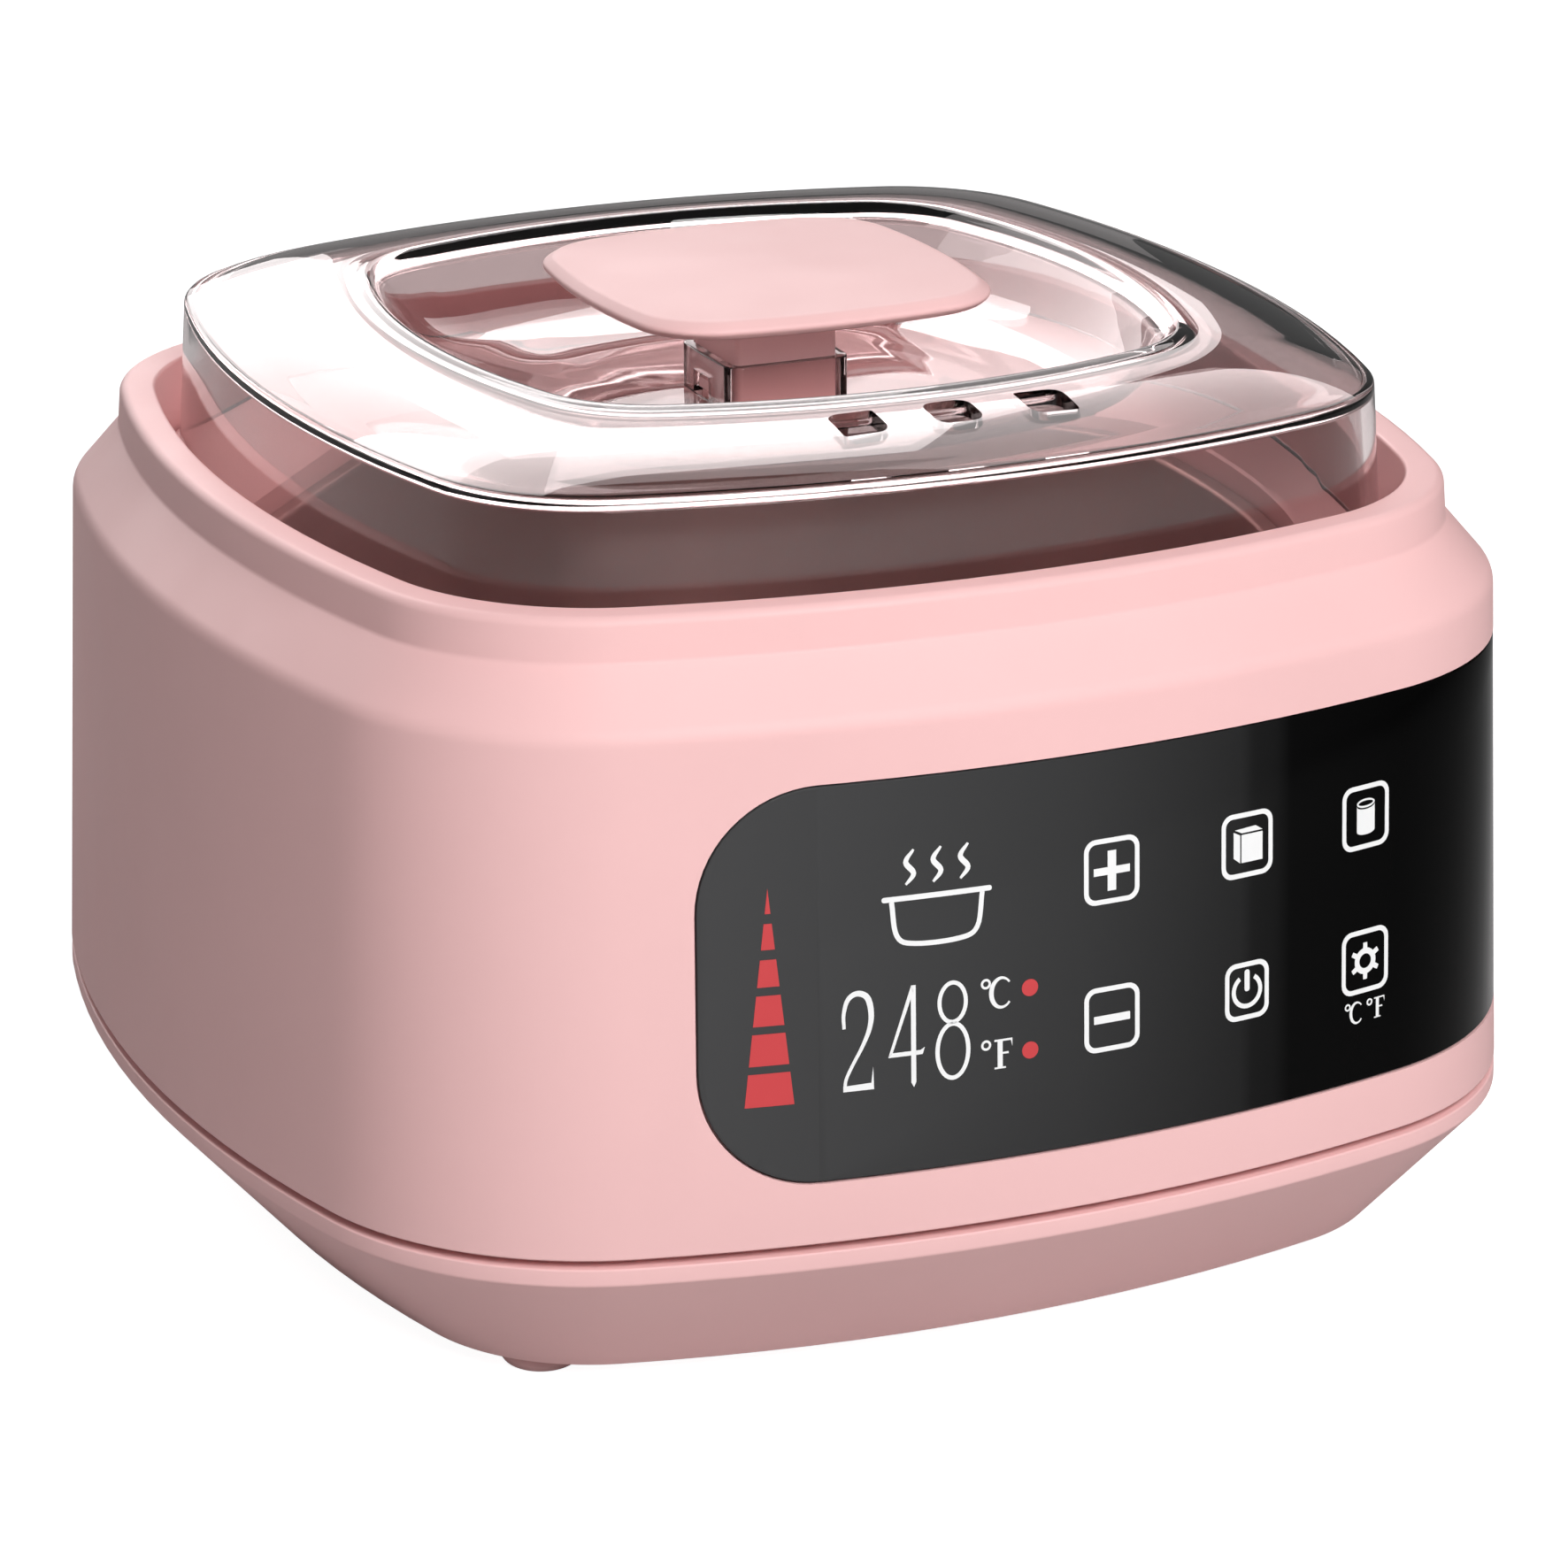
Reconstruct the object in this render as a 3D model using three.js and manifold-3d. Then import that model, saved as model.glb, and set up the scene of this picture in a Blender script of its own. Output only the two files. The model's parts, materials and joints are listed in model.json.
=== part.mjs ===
// Table-top wax warmer: a rounded-square housing with a wrap-around touch panel, a heated bowl
// that a removable pot drops into, and a clear vented lid with a square knob.
//
// Millimetres, +Z up, -Y the front. The origin is the middle of the footprint, on the table.

import * as THREE from 'three';
import { mergeVertices } from 'three/addons/utils/BufferGeometryUtils.js';
import Module from 'manifold-3d';

const wasm = await Module();
wasm.setup();

// ---------------------------------------------------------------- driving dimensions
const CLEARANCE = 0.3; // left between pieces that touch

const BODY_HALF = 105; // half the housing's width, at the seam
const BODY_SIDE_R = 251.8; // plan radius of each long, slightly bowed side
const BODY_CORNER_R = 47.9; // plan radius of each corner

const BASE_BOTTOM_Z = 3.6; // underside of the base, above the table
const BASE_BOTTOM_HALF = 86.4;
const BAND_BOTTOM_Z = 24.6; // where the base's taper meets its upright band
const BAND_HALF = 105.07;
const SEAM_BOTTOM_Z = 27.0; // the groove between base and upper shell
const SEAM_TOP_Z = 28.3;
const SEAM_DEPTH_HALF = 103.4;
const TONGUE_TOP_Z = 33.6;

const WALL = 3; // upper shell's wall
const SHOULDER_Z = 106.4; // top of the upright wall
const SHOULDER_HALF = 101.97;
const COLLAR_FOOT_Z = 116.4; // where the shoulder's chamfer meets the collar
const COLLAR_FOOT_HALF = 95.4;
const COLLAR_TOP_Z = 122;
const COLLAR_INNER_HALF = 88.5;
const COLLAR_LIP_Z = 109; // the collar's inner wall ends here, on the pot frame's sleeve
const SLEEVE_HALF = 88.2; // pot frame: a sleeve in the collar, a ledge and four posts
const SLEEVE_BOTTOM_Z = 98;
const LEDGE_T = 2.5;
const LEDGE_HOLE_R = 87;

const DECK_HALF = 86.7; // heat-resistant ring inside the collar
const DECK_TOP_Z = 112.2;
const DECK_T = 2.8;
const APERTURE_R = 84; // the round hole that the pot drops through
const APERTURE_TOP_Z = 104.3;
const APERTURE_BOTTOM_Z = 100.3;

const POT_RIM_R = 83.5;
const POT_RIM_Z = 101.2;
const POT_BOTTOM_Z = 49.2;
const SHEET = 1.5; // thickness of the pot's and the bowl's metal

const LID_HALF = 82.9; // at the lid's upper edge
const LID_BOTTOM_Z = 112.6;
const LID_EDGE_Z = 136.5;
const LIP_HALF = 58.2; // the raised lip around the lid's dish
const LIP_Z = 142.1;
const DISH_FLOOR_Z = 126.8;
const LID_T = 2.3;
const SOCKET_HALF = 10.5; // square socket in the dish that holds the knob
const SOCKET_TOP_Z = 133.9;
const STEM_HALF = 8.65;
const KNOB_HALF = 31.06;
const KNOB_BOTTOM_Z = 143.9;
const KNOB_TOP_Z = 147.6;

const VENT_SIZE = 7.6;
const VENT_PITCH = 15.2;
const VENT_Y = -68.6;
const VENT_CORNER_R = 3;
const VENT_TIGHT_R = 0.8;

const PANEL_BOTTOM_Z = 37.9; // black touch panel, wrapped round the front-right corner
const PANEL_TOP_Z = 97.6;
const PANEL_END = 53.3; // each upright end's distance from a middle plane
const PANEL_CORNER_R = 18;
const PANEL_T = 1.2;

const POST_R = 92; // circle of the housing posts and of the ring's screws
const POST_ANGLE = 36.5; // degrees from +X
const RING_SCREW_ANGLE = 53.5;
const FOOT_SPACING = 65.2; // distance of each foot's centre from the two middle planes

const INLET_Z = 45;
const BOARD_Y = -90.6; // front face of the display board
const KEY_X = [10.1, 33.4, 55.4];
const KEY_Z = [56.8, 79.5];
const NARROW_PAD_X = 50; // pads past this stand where the wall turns, so they are slimmer
const SHIELD_Z = 37; // underside of the heat shield
const POWER_BOARD_Z = 12;
const SHEATH_R = 1.1; // insulated leads
const BASE_FLOOR_T = 2.5;
const POST_SCREW_R = 1.7; // clearance hole for a post or ring screw
const INLET_HOLE = [24.6, 17.6]; // width and height

// ---------------------------------------------------------------- materials
const finish = (color, roughness, metalness = 0) =>
  new THREE.MeshStandardMaterial({ color, roughness, metalness });
const PINK = finish(0xf0bcbc, 0.5);
const PINK_RUBBER = finish(0xe3a9a8, 0.85);
const BLACK_GLASS = finish(0x101012, 0.12);
const CLEAR = finish(0xe6d2d2, 0.08);
CLEAR.transparent = true;
CLEAR.opacity = 0.35;
const NON_STICK = finish(0x3a3130, 0.45, 0.2);
const ALUMINIUM = finish(0xc4c6c8, 0.35, 1);
const STEEL = finish(0xb6b8bb, 0.3, 1);
const MICA = finish(0xb08f5c, 0.7);
const FIBRE = finish(0xe9e6dc, 0.95);
const CIRCUIT = finish(0x1f5d3a, 0.55);
const BLACK_PLASTIC = finish(0x1b1b1d, 0.55);
const DISPLAY_GREY = finish(0x6b6b70, 0.4);
const FOAM = finish(0x2b2b2e, 0.95);
const TERMINAL_GREEN = finish(0x2f7a4d, 0.6);
const BRASS = finish(0xc9a24d, 0.3, 1);
const LEAD_RED = finish(0xb8322c, 0.6);
const LEAD_BLUE = finish(0x2c5fb0, 0.6);
const LEAD_WHITE = finish(0xe8e8e6, 0.6);

// ---------------------------------------------------------------- plan outlines
// Each outline is four shallow side arcs joined by four corner arcs. An offset family keeps the
// wall's thickness even; a scaled family shrinks to a point.
const offsets = (half, side, corner) => (a) => ({ side: side - half + a, corner: corner - half + a });
const scaled = (half, side, corner) => (a) => ({ side: (side * a) / half, corner: (corner * a) / half });
const BODY = offsets(BODY_HALF, BODY_SIDE_R, BODY_CORNER_R);
const COLLAR = offsets(COLLAR_INNER_HALF, 232.3, 34.6);
const LID = offsets(LID_HALF, 217.2, 28.2);
const DISH = scaled(58, 122, 20.4);
const KNOB = scaled(KNOB_HALF, 124.8, 13.3);
const ROUND = (a) => ({ side: a, corner: a });

const QUARTER = Math.PI / 2;
const SIDE_NORMALS = [0, 7.2, 14.4]; // degrees, from the middle of a side to its end
const CORNER_NORMALS = [24.6, 34.8, 45, 55.2, 65.4];
const QUARTER_NORMALS = [...SIDE_NORMALS, ...CORNER_NORMALS, 75.6, 82.8];
const NORMALS = [0, 90, 180, 270].flatMap((turn) =>
  QUARTER_NORMALS.map((angle) => THREE.MathUtils.degToRad(turn + angle)));

// The point of an outline whose outward normal has the given direction.
function outlinePoint(plan, half, normal) {
  const turn = Math.round(normal / QUARTER);
  const t = normal - turn * QUARTER;
  const { side, corner } = plan(half);
  const point = new THREE.Vector2();
  if (side - corner < 1e-6) {
    point.set(half * Math.cos(t), half * Math.sin(t));
  } else {
    const sideEnd = Math.acos((side - half) / (side - corner) / Math.SQRT2) - Math.PI / 4;
    const centre = (side - corner) * Math.sin(sideEnd);
    if (Math.abs(t) <= sideEnd) {
      point.set(half - side + side * Math.cos(t), side * Math.sin(t));
    } else {
      point.set(centre + corner * Math.cos(t), Math.sign(t) * centre + corner * Math.sin(t));
    }
  }
  return point.rotateAround(new THREE.Vector2(), turn * QUARTER);
}

// One level of a moulded section: an outline at a height, or a blend of two outlines.
const level = (plan, half, z) => ({ z, at: (normal) => outlinePoint(plan, half, normal) });
const blend = (from, to, t, z) => ({ z, at: (normal) => from.at(normal).lerp(to.at(normal), t) });

// ---------------------------------------------------------------- solids
// Welds a geometry into one closed triangle mesh, with its faces pointing out.
function weld(geometry) {
  const bare = new THREE.BufferGeometry();
  bare.setAttribute('position', geometry.getAttribute('position').clone());
  bare.setIndex(geometry.getIndex() ? geometry.getIndex().clone() : null);
  const merged = mergeVertices(bare, 1e-4);
  const corners = merged.getIndex().array;
  const kept = [];
  for (let i = 0; i < corners.length; i += 3) {
    const [a, b, c] = [corners[i], corners[i + 1], corners[i + 2]];
    if (a !== b && b !== c && c !== a) kept.push(a, b, c);
  }
  merged.setIndex(kept);
  return volume(merged) < 0 ? flip(merged) : merged;
}

function volume(geometry) {
  const p = geometry.getAttribute('position');
  const index = geometry.getIndex().array;
  const [a, b, c] = [new THREE.Vector3(), new THREE.Vector3(), new THREE.Vector3()];
  let total = 0;
  for (let i = 0; i < index.length; i += 3) {
    a.fromBufferAttribute(p, index[i]);
    b.fromBufferAttribute(p, index[i + 1]);
    c.fromBufferAttribute(p, index[i + 2]);
    total += a.dot(b.cross(c)) / 6;
  }
  return total;
}

function flip(geometry) {
  const index = Array.from(geometry.getIndex().array);
  for (let i = 0; i < index.length; i += 3) [index[i], index[i + 1]] = [index[i + 1], index[i]];
  geometry.setIndex(index);
  return geometry;
}

function toManifold(geometry) {
  const solid = weld(geometry);
  return new wasm.Manifold(new wasm.Mesh({
    numProp: 3,
    vertProperties: new Float32Array(solid.getAttribute('position').array),
    triVerts: new Uint32Array(solid.getIndex().array),
  }));
}

function fromManifold(manifold) {
  const mesh = manifold.getMesh();
  const geometry = new THREE.BufferGeometry();
  geometry.setAttribute('position', new THREE.Float32BufferAttribute(mesh.vertProperties, 3));
  geometry.setIndex(Array.from(mesh.triVerts));
  return geometry;
}

const combine = (how) => (first, ...others) =>
  fromManifold(others.map(toManifold).reduce((sum, next) => sum[how](next), toManifold(first)));
const join = combine('add');
const cut = combine('subtract');
const common = combine('intersect');

// A section of levels carried round the plan outline; it closes on itself or ends on the axis.
function moulded(levels, closed = true) {
  const section = closed ? [...levels, levels[0]] : levels;
  const profile = section.map(({ z }) => new THREE.Vector2(1, z));
  const geometry = new THREE.LatheGeometry(profile, NORMALS.length);
  const position = geometry.getAttribute('position');
  for (let i = 0; i < position.count; i += 1) {
    const turn = Math.floor(i / section.length) % NORMALS.length;
    const { z, at } = section[i % section.length];
    const { x, y } = at(NORMALS[turn]);
    position.setXYZ(i, x, y, z);
  }
  return weld(geometry);
}

// A round section turned about Z. The profile's first point is repeated where it closes.
function turned(profile, { closed = true, segments = 36 } = {}) {
  const section = closed ? [...profile, profile[0]] : profile;
  const points = section.map(([r, z]) => new THREE.Vector2(r, z));
  return weld(new THREE.LatheGeometry(points, segments).rotateX(QUARTER));
}

const block = (width, depth, height, x, y, z) =>
  new THREE.BoxGeometry(width, depth, height).translate(x, y, z + height / 2);
const rod = (radius, height, x, y, z, sides = 12) =>
  new THREE.CylinderGeometry(radius, radius, height, sides).rotateX(QUARTER).translate(x, y, z + height / 2);
const rodAlongY = (radius, y0, y1, x, z, sides = 12) =>
  new THREE.CylinderGeometry(radius, radius, y1 - y0, sides).translate(x, (y0 + y1) / 2, z);
const polar = (radius, degrees) => {
  const angle = THREE.MathUtils.degToRad(degrees);
  return [radius * Math.cos(angle), radius * Math.sin(angle)];
};
const quarterTurns = (radius, degrees) => [0, 90, 180, 270].map((turn) => polar(radius, degrees + turn));

function roundedRectangle(x0, y0, x1, y1, r) {
  const shape = new THREE.Shape();
  shape.moveTo(x0 + r, y0);
  shape.lineTo(x1 - r, y0);
  shape.absarc(x1 - r, y0 + r, r, -QUARTER, 0);
  shape.lineTo(x1, y1 - r);
  shape.absarc(x1 - r, y1 - r, r, 0, QUARTER);
  shape.lineTo(x0 + r, y1);
  shape.absarc(x0 + r, y1 - r, r, QUARTER, 2 * QUARTER);
  shape.lineTo(x0, y0 + r);
  shape.absarc(x0 + r, y0 + r, r, 2 * QUARTER, 3 * QUARTER);
  return shape;
}

const prism = (shape, depth, curveSegments = 5) =>
  new THREE.ExtrudeGeometry(shape, { depth, bevelEnabled: false, curveSegments });

function lead(points, radius) {
  const section = new THREE.Shape();
  section.absarc(0, 0, radius, 0, 2 * Math.PI);
  const path = new THREE.CatmullRomCurve3(points.map((p) => new THREE.Vector3(...p)));
  return weld(new THREE.ExtrudeGeometry(section, { steps: 11, curveSegments: 4, extrudePath: path }));
}

function ribbon(points, width, thickness) {
  const section = new THREE.Shape();
  section.moveTo(-width / 2, -thickness / 2);
  section.lineTo(width / 2, -thickness / 2);
  section.lineTo(width / 2, thickness / 2);
  section.lineTo(-width / 2, thickness / 2);
  const path = new THREE.CatmullRomCurve3(points.map((p) => new THREE.Vector3(...p)));
  return weld(new THREE.ExtrudeGeometry(section, { steps: 10, extrudePath: path }));
}

// A pan-head screw, head down, with its shank rising from z.
function screw(headRadius, headHeight, shankRadius, length, x, y, z) {
  return turned([
    [0, z - headHeight], [headRadius * 0.8, z - headHeight], [headRadius, z - headHeight * 0.4],
    [headRadius, z], [shankRadius, z], [shankRadius, z + length], [0, z + length],
  ], { closed: false, segments: 8 }).translate(x, y, 0);
}

const object = new THREE.Group();
function add(name, geometry, material) {
  const mesh = new THREE.Mesh(geometry, material);
  mesh.name = name;
  object.add(mesh);
}

// ---------------------------------------------------------------- housing
const posts = quarterTurns(POST_R, POST_ANGLE);
const ringScrews = quarterTurns(POST_R, RING_SCREW_ANGLE);
const grid = (us, vs) => us.flatMap((u) => vs.map((v) => [u, v]));
const feet = grid([-FOOT_SPACING, FOOT_SPACING], [-FOOT_SPACING, FOOT_SPACING]);
const displayHoles = grid([-46, 58], [45.5, 90]); // x and z
const boardHoles = [[-40, -20], [40, 40]];
const shieldHoles = grid([-58, 58], [-20, 20]);
const wallHalf = (z) =>
  THREE.MathUtils.mapLinear(z, SEAM_TOP_Z, SHOULDER_Z, BODY_HALF, SHOULDER_HALF);

// A band of the upright wall between two depths below its outer face.
function wallLayer(z0, z1, outerDepth, innerDepth) {
  return moulded([
    level(BODY, wallHalf(z0) - outerDepth, z0), level(BODY, wallHalf(z1) - outerDepth, z1),
    level(BODY, wallHalf(z1) - innerDepth, z1), level(BODY, wallHalf(z0) - innerDepth, z0),
  ]);
}

// The panel's outline: its upright ends lie on the front and on the right-hand side.
function panelShape(thicknessFrom, thicknessTo, grow) {
  const far = 220; // past the housing's far side
  const r = PANEL_CORNER_R + grow;
  const outline = (end) =>
    prism(roundedRectangle(end - grow, PANEL_BOTTOM_Z - grow, far, PANEL_TOP_Z + grow, r), 2 * far)
      .rotateX(QUARTER).translate(0, far, 0);
  const fromFront = outline(-PANEL_END);
  const fromSide = outline(PANEL_END).rotateZ(-QUARTER);
  const layer = wallLayer(PANEL_BOTTOM_Z - 3, PANEL_TOP_Z + 3, thicknessFrom, thicknessTo);
  return common(layer, fromFront, fromSide);
}

function upperShell() {
  const skin = moulded([
    level(BODY, BODY_HALF, SEAM_TOP_Z), level(BODY, SHOULDER_HALF, SHOULDER_Z),
    level(BODY, SHOULDER_HALF - 0.9, SHOULDER_Z + 3.4), level(BODY, SHOULDER_HALF - 3, SHOULDER_Z + 6.4),
    level(BODY, COLLAR_FOOT_HALF, COLLAR_FOOT_Z),
    level(BODY, COLLAR_FOOT_HALF - 2.1, COLLAR_FOOT_Z - 2.1),
    level(BODY, SHOULDER_HALF - 5, SHOULDER_Z + 3.2), level(BODY, SHOULDER_HALF - WALL, SHOULDER_Z - 0.9),
    level(BODY, wallHalf(TONGUE_TOP_Z) - WALL, TONGUE_TOP_Z + 0.7),
    level(BODY, wallHalf(TONGUE_TOP_Z) - 1.2, TONGUE_TOP_Z + 0.7),
    level(BODY, BODY_HALF - 1.2, SEAM_TOP_Z),
  ]);
  const boardBosses = displayHoles.map(([x, z]) =>
    common(rodAlongY(3, -103, BOARD_Y - CLEARANCE, x, z), wallLayer(34.3, 106, 0.5, 40)));
  return cut(
    join(skin, ...boardBosses),
    panelShape(-2, PANEL_T + 0.4, CLEARANCE),
    ...displayHoles.map(([x, z]) => rodAlongY(1.4, -93.4, BOARD_Y + 2, x, z, 8)),
    block(46.7, 14, 35, -24.35, -99, 49.2), // window behind the digits and the level bars
    block(INLET_HOLE[0], 12, INLET_HOLE[1], 0, 104, INLET_Z - INLET_HOLE[1] / 2),
  );
}

// The upright rim, set into the shoulder's top edge so that their joint lies in the crease.
function collar() {
  return moulded([
    level(BODY, COLLAR_FOOT_HALF - 0.3, COLLAR_FOOT_Z + 0.3),
    level(BODY, COLLAR_FOOT_HALF - 1.4, COLLAR_TOP_Z - 0.9),
    level(BODY, COLLAR_FOOT_HALF - 2.8, COLLAR_TOP_Z),
    level(COLLAR, COLLAR_INNER_HALF + 0.4, COLLAR_TOP_Z),
    level(COLLAR, COLLAR_INNER_HALF, COLLAR_TOP_Z - 0.4),
    level(COLLAR, COLLAR_INNER_HALF - 0.2, COLLAR_LIP_Z),
    level(COLLAR, COLLAR_INNER_HALF + 1.8, COLLAR_LIP_Z), level(COLLAR, COLLAR_INNER_HALF + 1.9, 112),
    level(BODY, COLLAR_FOOT_HALF - 2.6, COLLAR_FOOT_Z - 2),
  ]);
}

// Carries the bowl and the ring inside the collar, and stands on the base on four posts.
function potFrame() {
  const sleeve = moulded([
    level(ROUND, LEDGE_HOLE_R, SLEEVE_BOTTOM_Z), level(COLLAR, SLEEVE_HALF + 1.8, SLEEVE_BOTTOM_Z),
    level(COLLAR, SLEEVE_HALF + 1.8, COLLAR_LIP_Z - CLEARANCE),
    level(COLLAR, SLEEVE_HALF, COLLAR_LIP_Z - CLEARANCE),
    level(COLLAR, SLEEVE_HALF, SLEEVE_BOTTOM_Z + LEDGE_T),
    level(ROUND, LEDGE_HOLE_R, SLEEVE_BOTTOM_Z + LEDGE_T),
  ]);
  const postRods = posts.map(([x, y]) => rod(4.2, SLEEVE_BOTTOM_Z - 8.8, x, y, 9.3));
  return cut(
    join(sleeve, ...postRods),
    ...posts.map(([x, y]) => rod(POST_SCREW_R, 18, x, y, 6)),
    ...ringScrews.map(([x, y]) => rod(1.8, 8, x, y, SLEEVE_BOTTOM_Z - 2)),
  );
}

function baseShell() {
  const floorTop = BASE_BOTTOM_Z + BASE_FLOOR_T;
  const tub = moulded([
    level(ROUND, 0, BASE_BOTTOM_Z), level(BODY, BASE_BOTTOM_HALF - 0.9, BASE_BOTTOM_Z),
    level(BODY, BASE_BOTTOM_HALF, BASE_BOTTOM_Z + 0.5), level(BODY, BAND_HALF, BAND_BOTTOM_Z),
    level(BODY, BODY_HALF, SEAM_BOTTOM_Z), level(BODY, SEAM_DEPTH_HALF, SEAM_BOTTOM_Z),
    level(BODY, SEAM_DEPTH_HALF - 0.15, TONGUE_TOP_Z), level(BODY, SEAM_DEPTH_HALF - 1.9, TONGUE_TOP_Z),
    level(BODY, SEAM_DEPTH_HALF - 1.9, BAND_BOTTOM_Z + 0.5),
    level(BODY, BASE_BOTTOM_HALF - 1.4, floorTop), level(ROUND, 0, floorTop),
  ], false);
  const bossBottom = BASE_BOTTOM_Z + 0.5;
  const screwBosses = posts.map(([x, y]) => rod(5.6, 9 - bossBottom, x, y, bossBottom));
  const standoffs = boardHoles.map(([x, y]) => rod(3.2, POWER_BOARD_Z - CLEARANCE - 5, x, y, 5));
  const pillars = shieldHoles.map(([x, y]) =>
    join(rod(3.5, SHIELD_Z - CLEARANCE - 5, x, y, 5), rod(1.9, 4, x, y, SHIELD_Z - 2, 8)));
  return cut(
    join(tub, ...screwBosses, ...standoffs, ...pillars),
    ...posts.map(([x, y]) => rod(3.4, 3.4, x, y, BASE_BOTTOM_Z - 0.4)),
    ...posts.map(([x, y]) => rod(1.8, 8, x, y, 5, 8)),
    ...feet.map(([x, y]) => rod(2.5, 6, x, y, 1)),
    ...boardHoles.map(([x, y]) => rod(1.4, 6, x, y, 7, 8)),
  );
}

add('upper_shell', upperShell(), PINK);
add('collar', collar(), PINK);
add('base_shell', baseShell(), PINK);
add('pot_frame', potFrame(), PINK);
add('control_panel', panelShape(0.05, PANEL_T, 0), BLACK_GLASS);

function rubberFoot(x, y) {
  const profile = [
    [0, 0], [4.6, 0], [5.8, 0.6], [6.35, 1.9], [6.35, 3.3], [2.2, 3.3], [2.2, 7.6], [0, 7.6],
  ];
  return turned(profile, { closed: false, segments: 14 }).translate(x, y, 0);
}
feet.forEach(([x, y], i) => add(`rubber_foot_${i + 1}`, rubberFoot(x, y), PINK_RUBBER));
posts.forEach(([x, y], i) => add(`base_screw_${i + 1}`, screw(3, 2, 1.4, 16, x, y, 6.3), STEEL));

// ---------------------------------------------------------------- heat-resistant ring in the collar
function innerRing() {
  const rimOuter = level(COLLAR, DECK_HALF, DECK_TOP_Z - 0.8);
  const rimTop = level(COLLAR, DECK_HALF - 0.8, DECK_TOP_Z);
  const mouth = level(ROUND, APERTURE_R, APERTURE_TOP_Z);
  const fall = (t) => THREE.MathUtils.lerp(DECK_TOP_Z, APERTURE_TOP_Z, t ** 1.25);
  const deck = [0.3, 0.6, 0.85].map((t) => blend(rimTop, mouth, t, fall(t)));
  const under = level(COLLAR, DECK_HALF, DECK_TOP_Z - DECK_T);
  const ring = moulded([
    under, rimOuter, rimTop, ...deck, mouth,
    level(ROUND, APERTURE_R, APERTURE_BOTTOM_Z), level(ROUND, APERTURE_R + 2.2, APERTURE_BOTTOM_Z),
    level(ROUND, APERTURE_R + 2.2, APERTURE_TOP_Z - 2.4),
    blend(under, level(ROUND, APERTURE_R + 2.2, 0), 0.6, DECK_TOP_Z - 6.2),
  ]);
  const below = moulded([
    level(COLLAR, DECK_HALF - 0.8, APERTURE_BOTTOM_Z + 0.5), rimTop, ...deck, mouth,
    level(ROUND, APERTURE_R, APERTURE_BOTTOM_Z + 0.5),
  ]);
  const bossBottom = SLEEVE_BOTTOM_Z + LEDGE_T + CLEARANCE;
  const bosses = ringScrews.map(([x, y]) => common(rod(4.2, 14, x, y, bossBottom), below));
  const tabs = common(
    moulded([
      level(COLLAR, DECK_HALF - 1, DECK_TOP_Z - DECK_T), level(COLLAR, DECK_HALF + 1, DECK_TOP_Z - DECK_T),
      level(COLLAR, DECK_HALF + 1, DECK_TOP_Z - 0.8), level(COLLAR, DECK_HALF - 1, DECK_TOP_Z - 0.8),
    ]),
    join(block(52, 200, 20, 0, 0, 100), block(200, 52, 20, 0, 0, 100)),
  );
  const screwHoles = ringScrews.map(([x, y]) => rod(POST_SCREW_R, 5.5, x, y, 99.5, 8));
  return cut(join(ring, ...bosses, tabs), ...screwHoles);
}
add('inner_ring', innerRing(), PINK);
ringScrews.forEach(([x, y], i) => add(`ring_screw_${i + 1}`, screw(2.8, 1.8, 1.4, 8.4, x, y, 95.9), STEEL));

// ---------------------------------------------------------------- bowl, heater and pot
const BOWL_LEVELS = [[51.5, 78.7], [94.5, 83.5]]; // height and outer radius near each end of the wall
const bowlOuter = (z) => {
  const [[z0, r0], [z1, r1]] = BOWL_LEVELS;
  return THREE.MathUtils.mapLinear(z, z0, z1, r0, r1);
};

function heatingBowl() {
  const bowl = turned([
    [0, 47.0], [76, 47.0], [bowlOuter(49.6), 49.6], [bowlOuter(94.5), 94.5], [83.7, 96.2], [86.2, 96.2],
    [86.2, 97.7], [83.9, 97.7], [83.9, 99.5], [82.4, 99.5], [76.8, 50.1], [75.2, 48.5], [0, 48.5],
  ], { closed: false });
  const tabs = [0, 90, 180, 270].map((turn) =>
    block(13, 9, SHEET, 91, 0, 96.2).rotateZ(THREE.MathUtils.degToRad(RING_SCREW_ANGLE + turn)));
  return cut(join(bowl, ...tabs), ...ringScrews.map(([x, y]) => rod(1.8, 4, x, y, 95, 8)));
}
add('heating_bowl', heatingBowl(), ALUMINIUM);

add('inner_pot', turned([
  [0, POT_BOTTOM_Z], [73, POT_BOTTOM_Z], [75.4, 51.6], [81.4, POT_RIM_Z - 1.4],
  [POT_RIM_R, POT_RIM_Z - 1.4], [POT_RIM_R, POT_RIM_Z], [80.7, POT_RIM_Z], [79.9, POT_RIM_Z - 0.9],
  [73.9, 52.3],
  [72.3, POT_BOTTOM_Z + SHEET], [0, POT_BOTTOM_Z + SHEET],
], { closed: false }), NON_STICK);

// The band heater is split on the left, where its two ears are drawn together by a screw.
function collarAround(z0, z1, gap, thickness, slot) {
  const ring = turned([
    [bowlOuter(z0) + gap, z0], [bowlOuter(z0) + gap + thickness, z0],
    [bowlOuter(z1) + gap + thickness, z1], [bowlOuter(z1) + gap, z1],
  ]);
  return cut(ring, block(30, slot, 60, -84, 0, 45));
}
const CLAMP_X = -89.5; // screw through the ears
const CLAMP_Z = 70;
function bandHeater() {
  const ears = [-1, 1].map((side) => block(9.6, 1.2, 8, -86.3, side * 3.6, CLAMP_Z - 4));
  const band = join(collarAround(56, 88, 0.3, 1.2, 6), ...ears);
  return cut(band, rodAlongY(1.7, -6, 6, CLAMP_X, CLAMP_Z, 8));
}
add('band_heater', bandHeater(), MICA);
add('insulation_sleeve', collarAround(54, 90, 1.9, 1.7, 14), FIBRE);
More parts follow.
